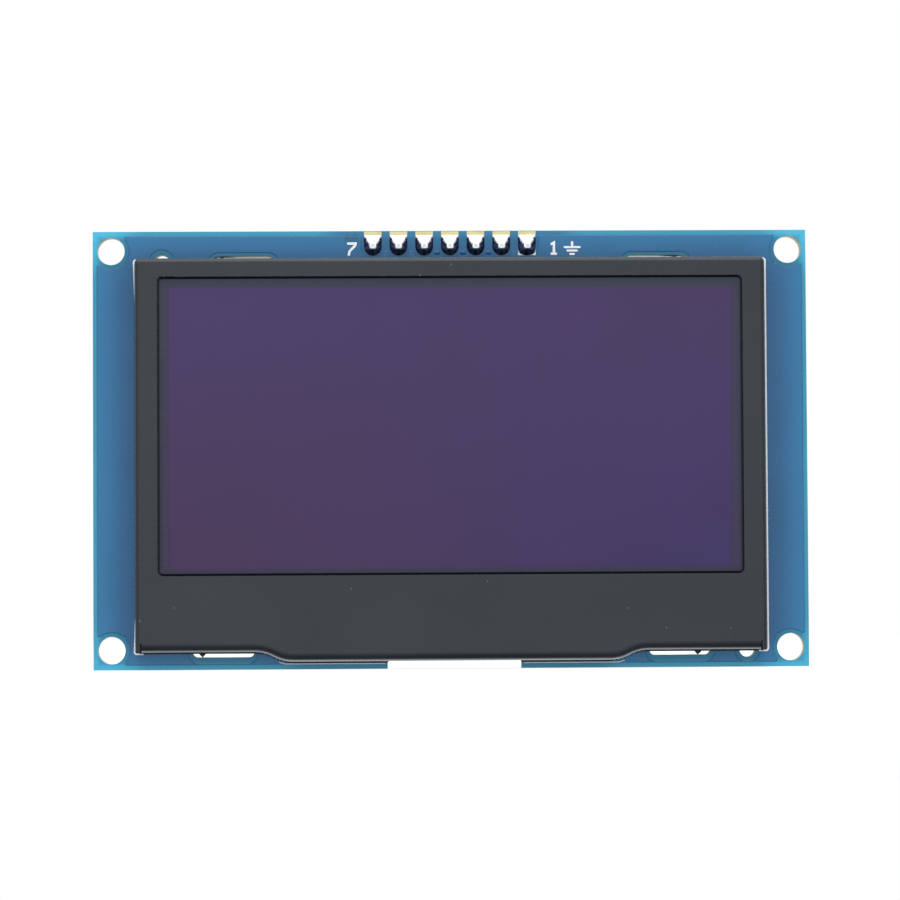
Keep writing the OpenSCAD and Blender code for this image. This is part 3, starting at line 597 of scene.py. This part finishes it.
def flex_film():
    """Amber film with copper tracks that run along it."""
    made, sketch, shader, where, uneven = material("flex_film", 0.2, 3.0)
    x = sketch.split(where)[0]
    low, high = box_mm("flex_tail")
    half = (high.x - low.x) / 2
    off_middle = sketch.maths("SUBTRACT", x, low.x + half)
    lane = sketch.maths("PINGPONG", sketch.maths("ADD", off_middle, 201 * TRACK_STEP), TRACK_STEP)
    inside = sketch.fade(sketch.maths("ABSOLUTE", off_middle), half - 0.3, half - 0.2, 1.0, 0.0)
    track = sketch.maths("MULTIPLY", sketch.fade(lane, 0.1, 0.14), inside)
    film = sketch.blend(uneven["Broad"], (196, 112, 34), (214, 134, 52))
    sketch.dress(shader, sketch.mix(track, film, paint(150, 78, 30)),
                 sketch.fade(uneven["Fine"], 0.3, 0.7, 0.24, 0.36),
                 sketch.bump(track, 0.01))
    return made


def chip_ends(name, dark, light, roughness, share):
    """A chip part's body with plated ends, told apart along its length."""
    made, sketch, shader, where, uneven = material(name, 0.08, 0.8)
    along = sketch.split(sketch.add("TexCoord").outputs["Generated"])[2]
    off_middle = sketch.maths("ABSOLUTE", sketch.maths("SUBTRACT", along, 0.5))
    plated = sketch.fade(off_middle, 0.5 - share - 0.01, 0.5 - share + 0.01)
    body = sketch.blend(uneven["Broad"], dark, light)
    sketch.dress(shader, sketch.mix(plated, body, paint(200, 200, 202)),
                 sketch.fade(uneven["Fine"], 0.3, 0.7, roughness, roughness + 0.12),
                 sketch.bump(uneven["Fine"], 0.004), plated)
    return made


FINISHES = {
    "board_mask": board_mask(),
    "bare_lands": bare_lands(),
    "bezel_paint": bezel_paint(),
    "polarizer_film": polarizer_film(),
    "panel_glass": panel_glass(),
    "dot_layer": grained("dot_layer", (76, 62, 98), (84, 70, 112), 0.3),
    "seal_glue": grained("seal_glue", (150, 142, 112), (170, 160, 128), 0.5),
    "drying_paper": grained("drying_paper", (216, 216, 208), (230, 230, 224), 0.85, depth=0.02),
    "bare_silicon": grained("bare_silicon", (84, 88, 94), (98, 102, 110), 0.12),
    "foam_tape": grained("foam_tape", (222, 222, 214), (238, 238, 232), 0.9, grain=0.25, depth=0.05),
    "flex_film": flex_film(),
    "solder": solder(),
    "black_plastic": grained("black_plastic", (22, 22, 24), (30, 30, 32), 0.45, grain=0.08, depth=0.006),
    "gilt_pin": gilt_pin(),
    "chip_moulding": grained("chip_moulding", (26, 26, 28), (36, 36, 38), 0.55, grain=0.05, depth=0.008),
    "tinned_lead": grained("tinned_lead", (196, 197, 200), (214, 215, 218), 0.3, metallic=1.0),
    "ferrite": grained("ferrite", (46, 46, 50), (60, 60, 64), 0.6, grain=0.12, depth=0.02),
    "enamelled_copper": grained("enamelled_copper", (150, 72, 30), (178, 92, 42), 0.25, metallic=0.8),
    "resistor_body": chip_ends("resistor_body", (18, 18, 20), (28, 28, 30), 0.3, 0.22),
    "capacitor_body": chip_ends("capacitor_body", (150, 116, 78), (172, 136, 94), 0.4, 0.18),
}
SILK = grained("silk_ink", (248, 250, 252), (254, 254, 255), 0.5, depth=0.003)

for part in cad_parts.values():
    for slot in part.material_slots:
        slot.material = FINISHES[slot.material.name.split(".")[0]]


# ---- Flat prints, tracks and a painted shadow strip -------------------------

def on_front(a, b, height):
    """A point on the board's front: a to the right, b up."""
    return Vector((a, -height, b)) * MM


def on_rear(a, b, height):
    """A point on the board's rear, as seen from behind: a to the right, b up."""
    return Vector((-a, BOARD_T + height, b)) * MM


ROUND_STEPS = 5


def ribbon(points, width, closed=False):
    """The left and right edge points of a line drawn with that width."""
    path = [Vector(p) for p in points]
    count = len(path)
    edges = []
    for i, here in enumerate(path):
        before = path[i - 1] if closed or i > 0 else None
        after = path[(i + 1) % count] if closed or i < count - 1 else None
        way_in = (here - before).normalized() if before is not None else None
        way_out = (after - here).normalized() if after is not None else None
        way = ((way_in or way_out) + (way_out or way_in)).normalized()
        side = Vector((-way.y, way.x))
        lean = side.dot(Vector((-(way_out or way_in).y, (way_out or way_in).x)))
        reach = width / 2 / max(lean, 0.4)
        edges.append((here + side * reach, here - side * reach))
    if closed:
        return edges + edges[:1]
    for end, step in ((0, -1), (-1, 1)):
        left, right = edges[end]
        middle = (left + right) / 2
        out = Vector((-(left - right).y, (left - right).x)).normalized() * step * -1
        half = (left - right) / 2
        rounds = []
        for k in range(1, ROUND_STEPS):
            turn = math.pi / 2 * k / ROUND_STEPS
            shift = out * math.sin(turn) * half.length
            rounds.append((middle + half * math.cos(turn) + shift, middle - half * math.cos(turn) + shift))
        edges = rounds[::-1] + edges if end == 0 else edges + rounds
    return edges


def print_piece(name, lines, side, thickness, finish):
    """One thin piece of ink or copper made of lines: each is its points, width, and if it is closed.

    Neighbouring lines differ a little in thickness, so that no two tops lie in one plane where they cross.
    """
    mesh = bmesh.new()
    for number, (points, width, closed) in enumerate(lines):
        top = thickness * (1 + 0.05 * (number % 5))
        pairs = [[mesh.verts.new(side(p.x, p.y, top)) for p in pair]
                 for pair in ribbon(points, width, closed)]
        for (a, b), (c, d) in zip(pairs, pairs[1:]):
            mesh.faces.new((a, b, d, c))
    bmesh.ops.remove_doubles(mesh, verts=mesh.verts, dist=1e-8)
    bmesh.ops.recalc_face_normals(mesh, faces=mesh.faces)
    outward = side(0, 0, 1) - side(0, 0, 0)
    if sum(f.normal.dot(outward) for f in mesh.faces) < 0:
        bmesh.ops.reverse_faces(mesh, faces=mesh.faces)
    bmesh.ops.solidify(mesh, geom=list(mesh.faces), thickness=thickness * MM)
    return piece(name, mesh, finish)


def piece(name, mesh, finish, smooth=False):
    """A new object from a bmesh, with its finish, riding on the module."""
    data = bpy.data.meshes.new(name)
    for face in mesh.faces:
        face.smooth = smooth
    mesh.to_mesh(data)
    mesh.free()
    data.materials.append(finish)
    made = bpy.data.objects.new(name, data)
    bpy.context.scene.collection.objects.link(made)
    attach(made, "root")
    return made


def arc(middle, radius, start, end, steps=8):
    """Points along an arc, with its angles in degrees."""
    turns = [math.radians(start + (end - start) * k / steps) for k in range(steps + 1)]
    return [(middle[0] + radius * math.cos(t), middle[1] + radius * math.sin(t)) for t in turns]


SILK_T = 0.02
LINE_W = 0.15
THIN_W = 0.06
# Width of the painted shadow strip below the bezel's foot.
SHADOW_W = 0.18
FLAP_END = 30.35
SLIT_X = 30.6


def bezel_print():
    """The printed outline that shows where the bezel sits: an open frame and the line below the bulge."""
    side, foot, top, r = 31.22, -20.03, 18.8, 0.25
    tuck = 0.24
    lines = []
    for sign in (-1, 1):
        corner = [(sign * x, z) for x, z in arc((side - r, foot + r), r, 0, -90)]
        head = [(sign * x, z) for x, z in arc((side - r, top - r), r, 90, 0)]
        bow = [(sign * (side - tuck), z) for z in (12.0, 4.0, -8.0, -14.0)] if sign < 0 else []
        lines.append((head + bow + corner + [(sign * FLAP_END, foot)], LINE_W, False))
    for sign, end in ((-1, NOTCH[0] - 0.25), (1, NOTCH[1] + 0.25)):
        lines.append(([(sign * 17.0, -20.9), (sign * 16.5, -21.07), (end, -21.09)], THIN_W, False))
    return print_piece("bezel_print", lines, on_front, SILK_T, SILK)


DIGIT_H = 1.1
DIGIT_W = 0.24


def digit(shape, left, foot):
    """The lines of a printed digit, drawn on a unit height, at that place."""
    return [([(left + x * DIGIT_H, foot + y * DIGIT_H) for x, y in line], DIGIT_W, False) for line in shape]


SEVEN = [[(0.0, 1.0), (0.66, 1.0), (0.62, 0.82), (0.12, 0.3), (0.05, 0.0)]]
ONE = [[(0.0, 0.88), (0.2, 1.0), (0.2, 0.0)], [(0.0, 0.0), (0.38, 0.0)]]


def header_print():
    """The numbers of the first and the last pin, and the sign for ground beside pin 1."""
    lines = digit(SEVEN, -10.05, 19.27) + digit(ONE, 10.08, 19.3)
    sign_x, sign_z = 12.1, 19.95
    lines.append(([(sign_x, 20.42), (sign_x, sign_z + 0.13)], DIGIT_W, False))
    for half, drop in ((0.75, 0.0), (0.47, 0.34), (0.18, 0.68)):
        lines.append(([(sign_x - half, sign_z - drop), (sign_x + half, sign_z - drop)], 0.2, False))
    return print_piece("header_print", lines, on_front, SILK_T, SILK)


def foot_shadow():
    """A painted shadow: a thin dark strip on the board below the bezel's foot, where its rim stands on the
    board, and behind the bezel's corner slit on each side.
    """
    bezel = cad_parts["bezel"]
    shadow_end = FLAP_END - 0.1
    lowest = {}
    for vertex in bezel.data.vertices:
        spot = bezel.matrix_world @ vertex.co / MM
        if abs(spot.y) < 0.02 and spot.z < -19 and abs(spot.x - ACTIVE_X) < shadow_end - 0.3:
            step = round(spot.x, 1)
            lowest[step] = min(lowest.get(step, 0), spot.z)
    rim = [(x, z - SHADOW_W / 2 + 0.03) for x, z in sorted(lowest.items())]
    bulge_z = rim[len(rim) // 2][1]
    left = [point for point in rim if point[0] < NOTCH[0] - 3] + [(NOTCH[0], bulge_z)]
    right = [(NOTCH[1], bulge_z)] + [point for point in rim if point[0] > NOTCH[1] + 3]
    left.insert(0, (ACTIVE_X - shadow_end, left[0][1]))
    right.append((ACTIVE_X + shadow_end, right[-1][1]))
    slit_shadows = [([(x, -19.0), (x, -19.85)], 0.36, False) for x in (-SLIT_X, SLIT_X)]
    # Painted shadow: a near-black ink for the strips.
    shadow_finish = grained("foot_shadow_dark", (14, 20, 30), (20, 28, 40), 0.6)
    lines = [(left, SHADOW_W, False), (right, SHADOW_W, False)] + slit_shadows
    return print_piece("foot_shadow", lines, on_front, SILK_T, shadow_finish)


bezel_print()
header_print()
foot_shadow()


# ---- Solder joints ----------------------------------------------------------

JOINT_RINGS = 12
JOINT_STEPS = 48
NECK_H = 0.4
CORNER_POWER = 3.2
SQUARE_POWER = 6
PIN_TIP = 1.4
CAP_T = 0.05
CAP_TILT = 0.32


def land_edge(number, across, up):
    """How far the land of one pin reaches from its middle, in the direction across and up."""
    side = LAND_R / max(abs(across), 1e-6)
    head = LAND_HEAD / max(up, 1e-6)
    if up > 0:
        return min(side, head)
    if number == 1:
        return LAND_R / (abs(across) ** CORNER_POWER + abs(up) ** CORNER_POWER) ** (1 / CORNER_POWER)
    return LAND_R


def header_joint(number):
    """Solder on one header land: it fills the land, climbs the pin and caps its tip."""
    middle_x = ((PIN_COUNT + 1) / 2 - number) * PITCH
    neck_h = NECK_H + dice.uniform(-0.04, 0.04)
    rows = []
    turns = [2 * math.pi * step / JOINT_STEPS for step in range(JOINT_STEPS)]
    ways = [(math.cos(t), math.sin(t)) for t in turns]

    def row(reach, height):
        """One ring of points at a reach from the pin and a height above the board."""
        return [(middle_x + reach(a, b) * a, HEADER_Z + reach(a, b) * b, height(a, b)) for a, b in ways]

    def square(half):
        """A rounded square of that half side, as a reach."""
        return lambda a, b: half / (abs(a) ** SQUARE_POWER + abs(b) ** SQUARE_POWER) ** (1 / SQUARE_POWER)
    rows.append(row(lambda a, b: land_edge(number, a, b), lambda a, b: 0.0))
    for ring in range(JOINT_RINGS + 1):
        share = 1 - ring / JOINT_RINGS

        def reach(a, b, share=share):
            neck = square(PIN_HALF + 0.04)(a, b)
            return neck + (land_edge(number, a, b) - neck) * share

        def height(a, b, share=share):
            return LAND_T + neck_h * (1 - share ** 1.15)
        rows.append(row(reach, height))
    for half, drop in ((PIN_HALF + 0.03, 0.12), (PIN_HALF + 0.02, 0.03), (PIN_HALF - 0.07, 0.0)):
        top = PIN_TIP + CAP_T - drop
        rows.append(row(square(half), lambda a, b, h=half, t=top: t - CAP_TILT * h * (1 + b)))
    mesh = bmesh.new()
    levels = [[mesh.verts.new(on_front(*point)) for point in points] for points in rows]
    for low, high in zip(levels, levels[1:]):
        for k in range(JOINT_STEPS):
            mesh.faces.new((low[k], high[k], high[k - 1], low[k - 1]))
    mesh.faces.new(levels[-1])
    mesh.faces.new(levels[0][::-1])
    bmesh.ops.recalc_face_normals(mesh, faces=mesh.faces)
    made = piece(f"solder_joint_{number}", mesh, FINISHES["solder"], smooth=True)
    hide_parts(f"header_joint_{number}")
    return made


for number in range(1, PIN_COUNT + 1):
    header_joint(number)


# ---- Rear -------------------------------------------------------------------

TRACK_T = 0.012
TRACK_W = 0.25
SUPPLY_W = 0.9
FLEX_END = -13.4
PIN_ROW = 19.1
VIA_R = 0.22
FRAME_W = 0.14


def rear_spot(node):
    """The middle of a CAD node on the rear, as seen from behind."""
    low, high = box_mm(node)
    return (-(low.x + high.x) / 2, (low.z + high.z) / 2)


def rear_spots(start):
    """The middles of all CAD nodes whose names start so, in the order of their numbers."""
    return [rear_spot(name) for name in sorted(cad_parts) if name.startswith(start)]


RESISTORS = rear_spots("resistor_")
CAPACITORS = rear_spots("capacitor_")
BOOST = rear_spot("boost_converter")
INDUCTOR = rear_spot("inductor_winding")
RECTIFIER = rear_spot("rectifier")
REGULATOR = rear_spot("regulator")
VIAS = ((-28, 12), (-28, 4), (-28, -6), (-23, -11), (-17, -7), (-13, -13), (-9, -5), (-7.3, 3.4),
        (-22, 8), (-17, 12), (28, 12), (28, 3), (28, -7), (24, -12), (19, -9), (13, -12), (6.2, -13),
        (5.4, 2.6), (18.5, 8), (24, 9), (11.6, 0.4), (12.4, -7.4), (-12.6, 6), (0.9, 14.6),
        (-3.4, 16.4), (3.9, 16.6))


def copper_print():
    """Tracks under the mask on the rear: header to resistors, resistors to flex, and the supply."""
    pins = [(pin - (PIN_COUNT + 1) / 2) * PITCH for pin in range(1, PIN_COUNT + 1)]
    row = RESISTORS[:6]
    lines = []
    for pin, (x, z) in zip((0, 1, 4, 5, 6), row[1:]):
        knee = z + 1.9
        lines.append([(pins[pin], PIN_ROW), (pins[pin], knee + abs(x - pins[pin])), (x, knee), (x, z + 0.8)])
    lines.append([(pins[2], PIN_ROW), (pins[2], 6.0), (-1.2, 4.66), (-1.2, FLEX_END)])
    lines.append([(pins[3], PIN_ROW), (pins[3], FLEX_END)])
    ends = (-3.6, -3.0, -2.4, 1.2, 1.8, 2.4)
    knees = (7.6, 6.6, 5.4, 5.4, 6.6, 7.6)
    for (x, z), end, knee in zip(row, ends, knees):
        lines.append([(x, z - 0.8), (x, knee), (end, knee - abs(x - end)), (end, FLEX_END)])
    lines.append([(9, -7.8), (9, -5.6), (9, -4.3)])
    lines.append([(9, -9.4), (9, -11.5), (7.1, -13.4), (6.2, -13.4)])
    lines.append([(9, 2.2), (9, -1.6)])
    supply = ([(10.2, -4.2), (13.5, -4.2)], [(13.5, -2.4), (13.5, 3.2)], [(17.5, 3.2), (20.6, 3.2)],
              [(17.5, -4.3), (20.6, -4.3)], [(-18.9, 3.1), (-16.2, 3.1)], [(-13.8, 3.1), (-11.1, 3.1)],
              [(-10.5, 1.0), (-10.5, -2.0), (-5.0, -7.5)], [(5.0, -9.8), (5.0, -12.6)])
    tracks = [(line, TRACK_W, False) for line in lines] + [(line, SUPPLY_W, False) for line in supply]
    mask = grained("track_mask", (30, 88, 136), (36, 98, 148), 0.3, grain=0.12, drift=6.0)
    return print_piece("rear_tracks", tracks, on_rear, TRACK_T, mask)


def frame_line(middle, half):
    """A printed rectangle round a part."""
    x, z = middle
    w, h = half
    return ([(x - w, z - h), (x + w, z - h), (x + w, z + h), (x - w, z + h)], FRAME_W, True)


def ring_line(middle, radius, width, steps=16):
    """A printed ring."""
    return (arc(middle, radius, 0, 360 - 360 / steps, steps - 1), width, True)


def rear_print():
    """Outlines of the rear's parts, dots at first leads, the diode's bar, the header's frame and numbers."""
    lines = [frame_line(spot, (0.8, 1.35)) for spot in RESISTORS]
    lines += [frame_line(spot, (1.0, 1.6)) for spot in CAPACITORS]
    lines += [frame_line(spot, half) for spot, half in ((BOOST, (1.8, 1.9)), (REGULATOR, (1.8, 1.8)),
                                                        (RECTIFIER, (2.5, 1.15)))]
    lines += [ring_line(INDUCTOR, 2.75, FRAME_W, 48)]
    lines += [ring_line((x - 2.25, z - 1.6), 0.12, 0.22) for x, z in (BOOST, REGULATOR)]
    bar_x, bar_z = RECTIFIER[0] + 1.75, RECTIFIER[1]
    lines += [([(bar_x, bar_z - 1.05), (bar_x, bar_z + 1.05)], 0.2, False)]
    lines += [frame_line((0, HEADER_Z), (PITCH * PIN_COUNT / 2 + 0.15, 1.42))]
    lines += digit(ONE, -10.2, 19.5) + digit(SEVEN, 9.6, 19.5)
    return print_piece("rear_print", lines, on_rear, SILK_T, SILK)


def via_rings():
    """Small tented vias: a raised ring with a dimple."""
    rings = [ring_line(spot, VIA_R, 0.2, 14) for spot in VIAS]
    mask = grained("via_mask", (26, 84, 130), (34, 96, 146), 0.28)
    return print_piece("via_rings", rings, on_rear, 0.025, mask)


WIRE_R = 0.085
WIRE_SIDES = 8
TURN_STEPS = 40


def coil():
    """The inductor's winding: one layer of enamelled wire round the drum."""
    low, high = box_mm("inductor_winding")
    middle = (low + high) / 2
    reach = (high.x - low.x) / 2 - WIRE_R
    height = high.y - low.y - 2 * WIRE_R
    turns = round(height / (2 * WIRE_R))
    steps = turns * TURN_STEPS
    around = [2 * math.pi * k / WIRE_SIDES for k in range(WIRE_SIDES)]
    mesh = bmesh.new()
    rings = []
    for step in range(steps + 1):
        turn = 2 * math.pi * turns * step / steps
        out = Vector((math.cos(turn), 0.0, math.sin(turn)))
        spot = Vector((middle.x, low.y + WIRE_R + height * step / steps, middle.z)) + out * reach
        ring = [spot + WIRE_R * (out * math.cos(a) + Vector((0, 1, 0)) * math.sin(a)) for a in around]
        rings.append([mesh.verts.new(point * MM) for point in ring])
    for one, two in zip(rings, rings[1:]):
        for k in range(WIRE_SIDES):
            mesh.faces.new((one[k - 1], one[k], two[k], two[k - 1]))
    mesh.faces.new(rings[0])
    mesh.faces.new(rings[-1][::-1])
    bmesh.ops.recalc_face_normals(mesh, faces=mesh.faces)
    made = piece("winding_turns", mesh, FINISHES["enamelled_copper"], smooth=True)
    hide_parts("inductor_winding")
    return made


def soften(node, width):
    """Rounds the edges of a small CAD piece a little."""
    weld = node.modifiers.new("weld", "WELD")
    weld.merge_threshold = 1e-6
    bevel = node.modifiers.new("soft_edges", "BEVEL")
    bevel.width = width * MM
    bevel.segments = 2
    bevel.limit_method = "ANGLE"
    bevel.angle_limit = math.radians(40)


copper_print()
rear_print()
via_rings()
coil()
SOFT = {"resistor": 0.03, "capacitor": 0.06, "boost_converter": 0.04, "rectifier": 0.05, "regulator": 0.04,
        "header_strip": 0.08, "inductor_core": 0.08}
for name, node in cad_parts.items():
    for start, width in SOFT.items():
        if name.startswith(start) and not name.endswith("leads"):
            soften(node, width)


# ---- Studio -----------------------------------------------------------------

def studio_world():
    """White to the eye and through glass, soft light, and a dim room before the object in reflections."""
    world = bpy.data.worlds.new("studio")
    bpy.context.scene.world = world
    world.use_nodes = True
    sketch = Sketch(world.node_tree)
    world.node_tree.nodes.clear()
    path = sketch.add("LightPath").outputs
    ahead = sketch.split(sketch.add("TexCoord").outputs["Generated"])
    behind = sketch.fade(ahead[1], 0.0, 0.4)
    above = sketch.fade(ahead[2], 0.15, 0.5)
    towards = sketch.fade(ahead[1], -0.99, -0.6, 1.0, 0.4)
    level = sketch.maths("MULTIPLY", towards, sketch.fade(ahead[2], -1.0, -0.05))
    level = sketch.maths("MULTIPLY", level, sketch.fade(ahead[2], -0.06, 0.1, 0.88, 1.0))
    dim = sketch.tint((1.0, 1.02, 1.04, 1.0), level)
    mirrored = sketch.mix(sketch.maths("MAXIMUM", behind, above), dim, WHITE)
    under = sketch.maths("MULTIPLY", behind, sketch.fade(ahead[2], -0.6, -0.3, 1.3, 0.0))
    seen = sketch.add("Background", {"Color": WHITE, "Strength": 1.0}).outputs[0]
    room = sketch.add("Background", {"Color": (0.98, 0.99, 1.0, 1.0), "Strength": 1.0}).outputs[0]
    strength = sketch.maths("ADD", under, 1.0)
    gloss = sketch.add("Background", {"Color": mirrored, "Strength": strength}).outputs[0]
    lit = sketch.add("MixShader", {0: path["Is Glossy Ray"], 1: room, 2: gloss}).outputs[0]
    through = sketch.maths("MAXIMUM", path["Is Camera Ray"], path["Is Transmission Ray"])
    shown = sketch.add("MixShader", {0: through, 1: lit, 2: seen}).outputs[0]
    sketch.add("OutputWorld", {"Surface": shown})


def studio_floor():
    """A pale floor under the board's lower edge that goes white and keeps a soft shadow."""
    made = bpy.data.materials.new("floor_white")
    made.use_nodes = True
    sketch = Sketch(made.node_tree)
    made.node_tree.nodes.clear()
    path = sketch.add("LightPath").outputs
    spot = sketch.add("TexCoord").outputs["Object"]
    far = sketch.fade(sketch.vector("LENGTH", spot), 0.09, 0.2)
    card = sketch.add("Emission", {"Color": WHITE, "Strength": 0.8}).outputs[0]
    soft = sketch.add("BsdfDiffuse", {"Color": (0.35, 0.35, 0.35, 1.0)}).outputs[0]
    glow = sketch.add("Emission", {"Color": WHITE, "Strength": 0.72}).outputs[0]
    white = sketch.add("Emission", {"Color": WHITE, "Strength": 1.0}).outputs[0]
    near = sketch.add("AddShader", {0: soft, 1: glow}).outputs[0]
    seen = sketch.add("MixShader", {0: far, 1: near, 2: white}).outputs[0]
    clear = sketch.add("BsdfTransparent").outputs[0]
    plain = sketch.add("MixShader", {0: path["Is Glossy Ray"], 1: card, 2: clear}).outputs[0]
    shown = sketch.maths("MAXIMUM", path["Is Camera Ray"], path["Is Transmission Ray"])
    shown = sketch.add("MixShader", {0: shown, 1: plain, 2: seen}).outputs[0]
    sketch.add("OutputMaterial", {"Surface": shown})
    bpy.ops.mesh.primitive_plane_add(size=6, location=(0, 0, board_low.z * MM))
    floor = bpy.context.object
    floor.name = "floor"
    floor.data.materials.append(made)


def softbox(name, place, size, power):
    """A square lamp at a place, turned to the object."""
    lamp = bpy.data.lights.new(name, "AREA")
    lamp.shape = "RECTANGLE"
    lamp.size, lamp.size_y = size
    lamp.energy = power
    made = bpy.data.objects.new(name, lamp)
    bpy.context.scene.collection.objects.link(made)
    made.location = place
    made.rotation_euler = (-Vector(place)).to_track_quat("-Z", "Y").to_euler()


def camera():
    """A long lens before the panel, a little left of and below its middle."""
    lens = bpy.data.cameras.new("camera")
    lens.lens = 141.4
    lens.sensor_width = 36.0
    made = bpy.data.objects.new("camera", lens)
    bpy.context.scene.collection.objects.link(made)
    swing, tilt, roll = (math.radians(a) for a in (1.436, -2.126, 0.272))
    view = Matrix.Translation(Vector((0.10, 0.09, -348.87)) * MM)
    view = view @ Matrix.Rotation(roll, 4, "Z") @ Matrix.Rotation(swing, 4, "Y")
    view = view @ Matrix.Rotation(tilt, 4, "X") @ Matrix.Rotation(math.radians(-90), 4, "X")
    made.matrix_world = view.inverted()
    lens.clip_start, lens.clip_end = 0.01, 20
    bpy.context.scene.camera = made


studio_world()
studio_floor()
softbox("overhead", (-0.05, -0.22, 0.5), (0.7, 0.5), 1.8)
softbox("rear_fill", (0.2, 0.6, 0.4), (0.5, 0.5), 3.0)
camera()
bpy.context.scene.view_settings.view_transform = "Standard"
